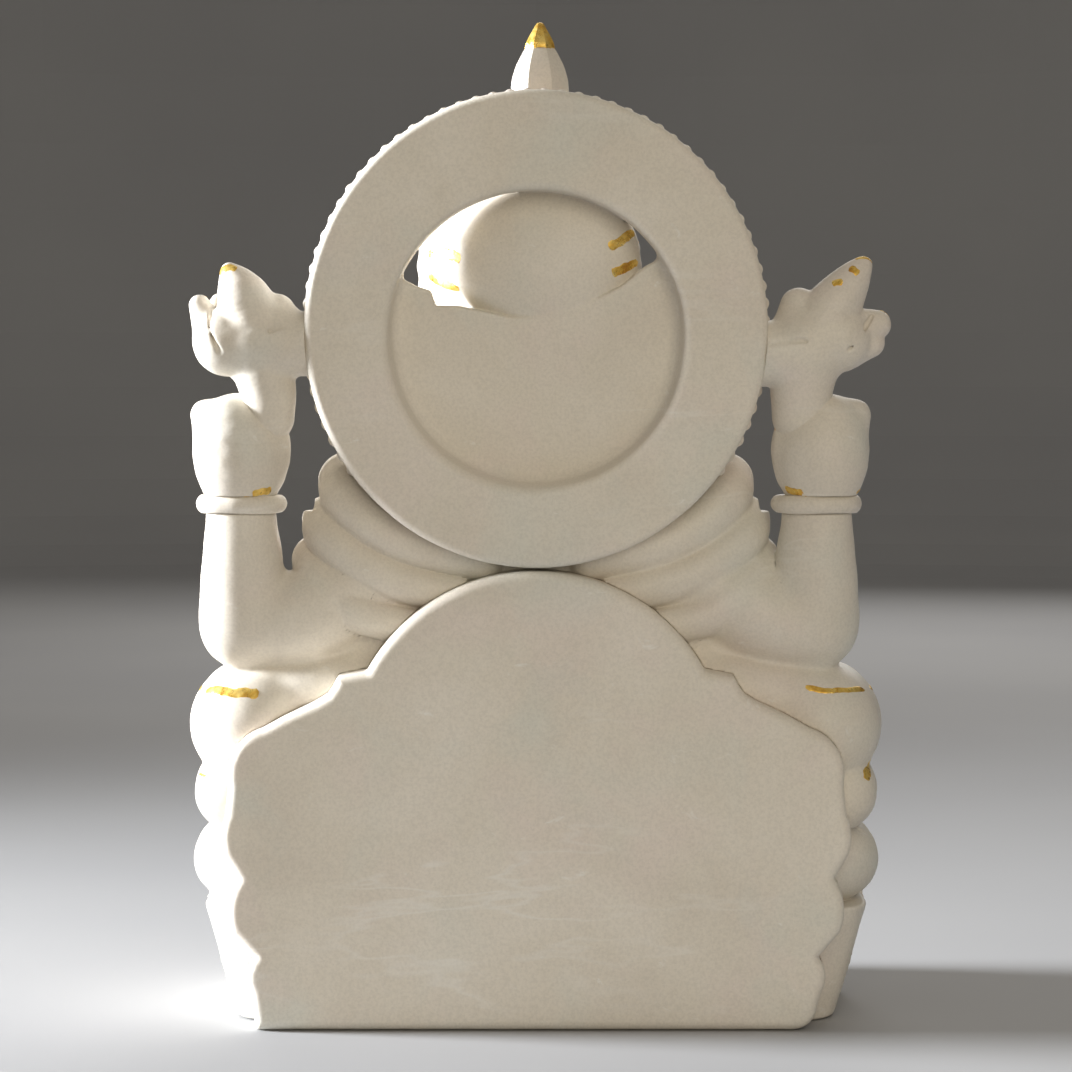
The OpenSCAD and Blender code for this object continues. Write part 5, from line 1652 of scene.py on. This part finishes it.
def paint_all():
    """Every brush stroke, as (path, width, pieces painted); each path runs just outside the stone."""
    crown = ["crown_dome", "crown_band"]
    front = [(CROWN_X + 34 * math.cos(a), CROWN_Y + 34 * math.sin(a))
             for a in np.radians(np.arange(176, 366, 12))]
    paint("crown_gilding", [
        ([(35.6, 27, 233.8), (33.8, 30, 232.8)], 2.4, crown),
        ([(30.2, 34, 233.6), (27.0, 37.8, 232.8), (23.8, 41, 231.4)], 3.4, crown),
        ([(35.6, 27, 227.2), (31.0, 33, 224.6), (25.6, 39, 221.0)], 3.2, crown),
        ([(-23.4, 50, 234.8), (-27.6, 46, 237.6), (-31.4, 40, 240.2)], 3.0, crown),
        ([(-24.6, 49, 226.0), (-27.6, 45, 228.2), (-30.6, 40, 230.6)], 3.0, crown),
        ([(-31.6, 34, 240.8), (-31.2, 35, 237), (-31.8, 34, 233.2), (-31.2, 35, 229.6)], 0.5, crown),
        ([(x, y, BAND_HIGH[2] + 1.6) for x, y in front], 2.2, crown),
        ([(x, y, BAND_LOW[2] + 2.6) for x, y in front], 1.8, crown),
    ])
    paint("wrist_gilding", [
        ([(79.2, 47.5, 162.0), (83, 49.5, 161.8), (87.4, 50, 161.6)], 2.8, ["left_rear_hand"]),
        ([(97, 32, 162), (90, 28.6, 162), (83, 30, 162)], 1.6, ["left_rear_hand"]),
        ([(-75.0, 45, 162.4), (-77.6, 47.6, 162.0), (-81.8, 49.4, 161.6)], 2.6, ["right_rear_hand"]),
        ([(-95.2, 45, 161.8), (-97.4, 42, 162.2)], 1.2, ["right_rear_hand"]),
        ([(-94, 31.6, 162), (-87, 28.6, 162), (-79, 31, 162)], 1.6, ["right_rear_hand"]),
        ([(-72.4, 44, 186.4), (-71.4, 43.6, 183.8), (-72.0, 43, 181.0)], 1.3, ["right_rear_hand"]),
    ])
    left, right = ["left_lotus"], ["right_lotus"]
    paint("lotus_gilding", [
        ([(96.2, 47, 227.0), (92.6, 48, 229.0), (89.4, 48, 227.2)], 3.6, left),
        ([(101.6, 42, 221), (98.6, 42, 220.4)], 1.0, left),
        ([(-87.6, 52, 224.6), (-91.4, 51, 224.0)], 2.5, right),
        ([(-93.4, 49.6, 228.6), (-96.0, 49.4, 226.4)], 2.5, right),
        ([(-95.4, 46.4, 231.4), (-98.4, 46.4, 232), (-100.8, 45, 230.2)], 1.6, right),
        ([(-103.4, 44, 216), (-106, 43, 213.6)], 0.8, right),
        ([(90, 29, 209), (90, 29.6, 214), (90, 31.4, 219)], 1.2, left),
        ([(-88.6, 29, 209), (-88.8, 29.6, 214), (-89, 31.4, 219)], 1.2, right),
    ])
    paint("thigh_gilding", [
        ([(83.4, 49, 102.0), (89, 49.4, 103.2), (95, 46, 102.6), (101.4, 38, 101.4)], 3.6, ["left_thigh"]),
        ([(102.6, 26, 100), (103, 10, 99), (99, -6, 98), (90, -16, 97)], 2.2, ["left_thigh"]),
        ([(-81, 49, 104.6), (-88, 49, 103.8), (-95, 45, 102.8), (-100, 38, 101.2)], 2.1, ["right_thigh"]),
        ([(-102.6, 26, 100), (-103, 10, 99), (-99, -6, 98), (-90, -16, 97)], 2.0, ["right_thigh"]),
        ([(-102.6, 32, 78.8), (-100.6, 39, 76.2), (-99.6, 41, 73.6)], 3.6, ["right_thigh", "right_shin"]),
        ([(102.6, 33, 74.6), (98.6, 41, 74.2)], 1.0, ["left_thigh", "left_shin"]),
    ])
    paint("forehead_mark", [
        ([(-7.4, -25, 203.6), (0, -27, 202.8), (7.4, -25, 203.6)], 1.7, ["head"]),
        ([(-7.0, -25, 207.2), (0, -27, 206.4), (7.0, -25, 207.2)], 1.7, ["head"]),
        ([(-6.4, -24, 210.8), (0, -26, 210.0), (6.4, -24, 210.8)], 1.7, ["head"]),
        ([(0, -26, 213), (0, -27, 208), (0, -28, 203)], 1.5, ["head"]),
    ])
    eyes = []
    for s in (-1, 1):
        x, y, z = 15.4 * s, EYE_Y, EYE_Z
        eyes.append(([(x - 6 * s, y - 4, z - 1.0), (x - 2.4 * s, y - 2.6, z + 1.7), (x + 2 * s, y, z + 1.9),
                      (x + 6.6 * s, y + 5, z - 0.2)], 0.8, ["head"]))
        eyes.append(([(x - 1.6 * s, y - 2.4, z + 0.2), (x + 1.6 * s, y, z + 0.3)], 2.3, ["head"]))
        eyes.append(([(x - 6.4 * s, y - 4, z + 6.2), (x, y - 2, z + 8.6), (x + 7.4 * s, y + 4.6, z + 6.4)],
                     0.9, ["head"]))
    paint("eyes", eyes, DARK, "dark_paint")


make_seat()
make_slab()
make_body()
make_halo()
make_rim()
make_head()
make_rear_hands()
make_rear_bracelets()
make_finial()
make_left_front_hand()
make_right_front_hand()
make_bowl()
make_laddus()
make_mouse()
make_necklace()
make_belt()
make_anklets()
make_front_bracelets()
paint_all()
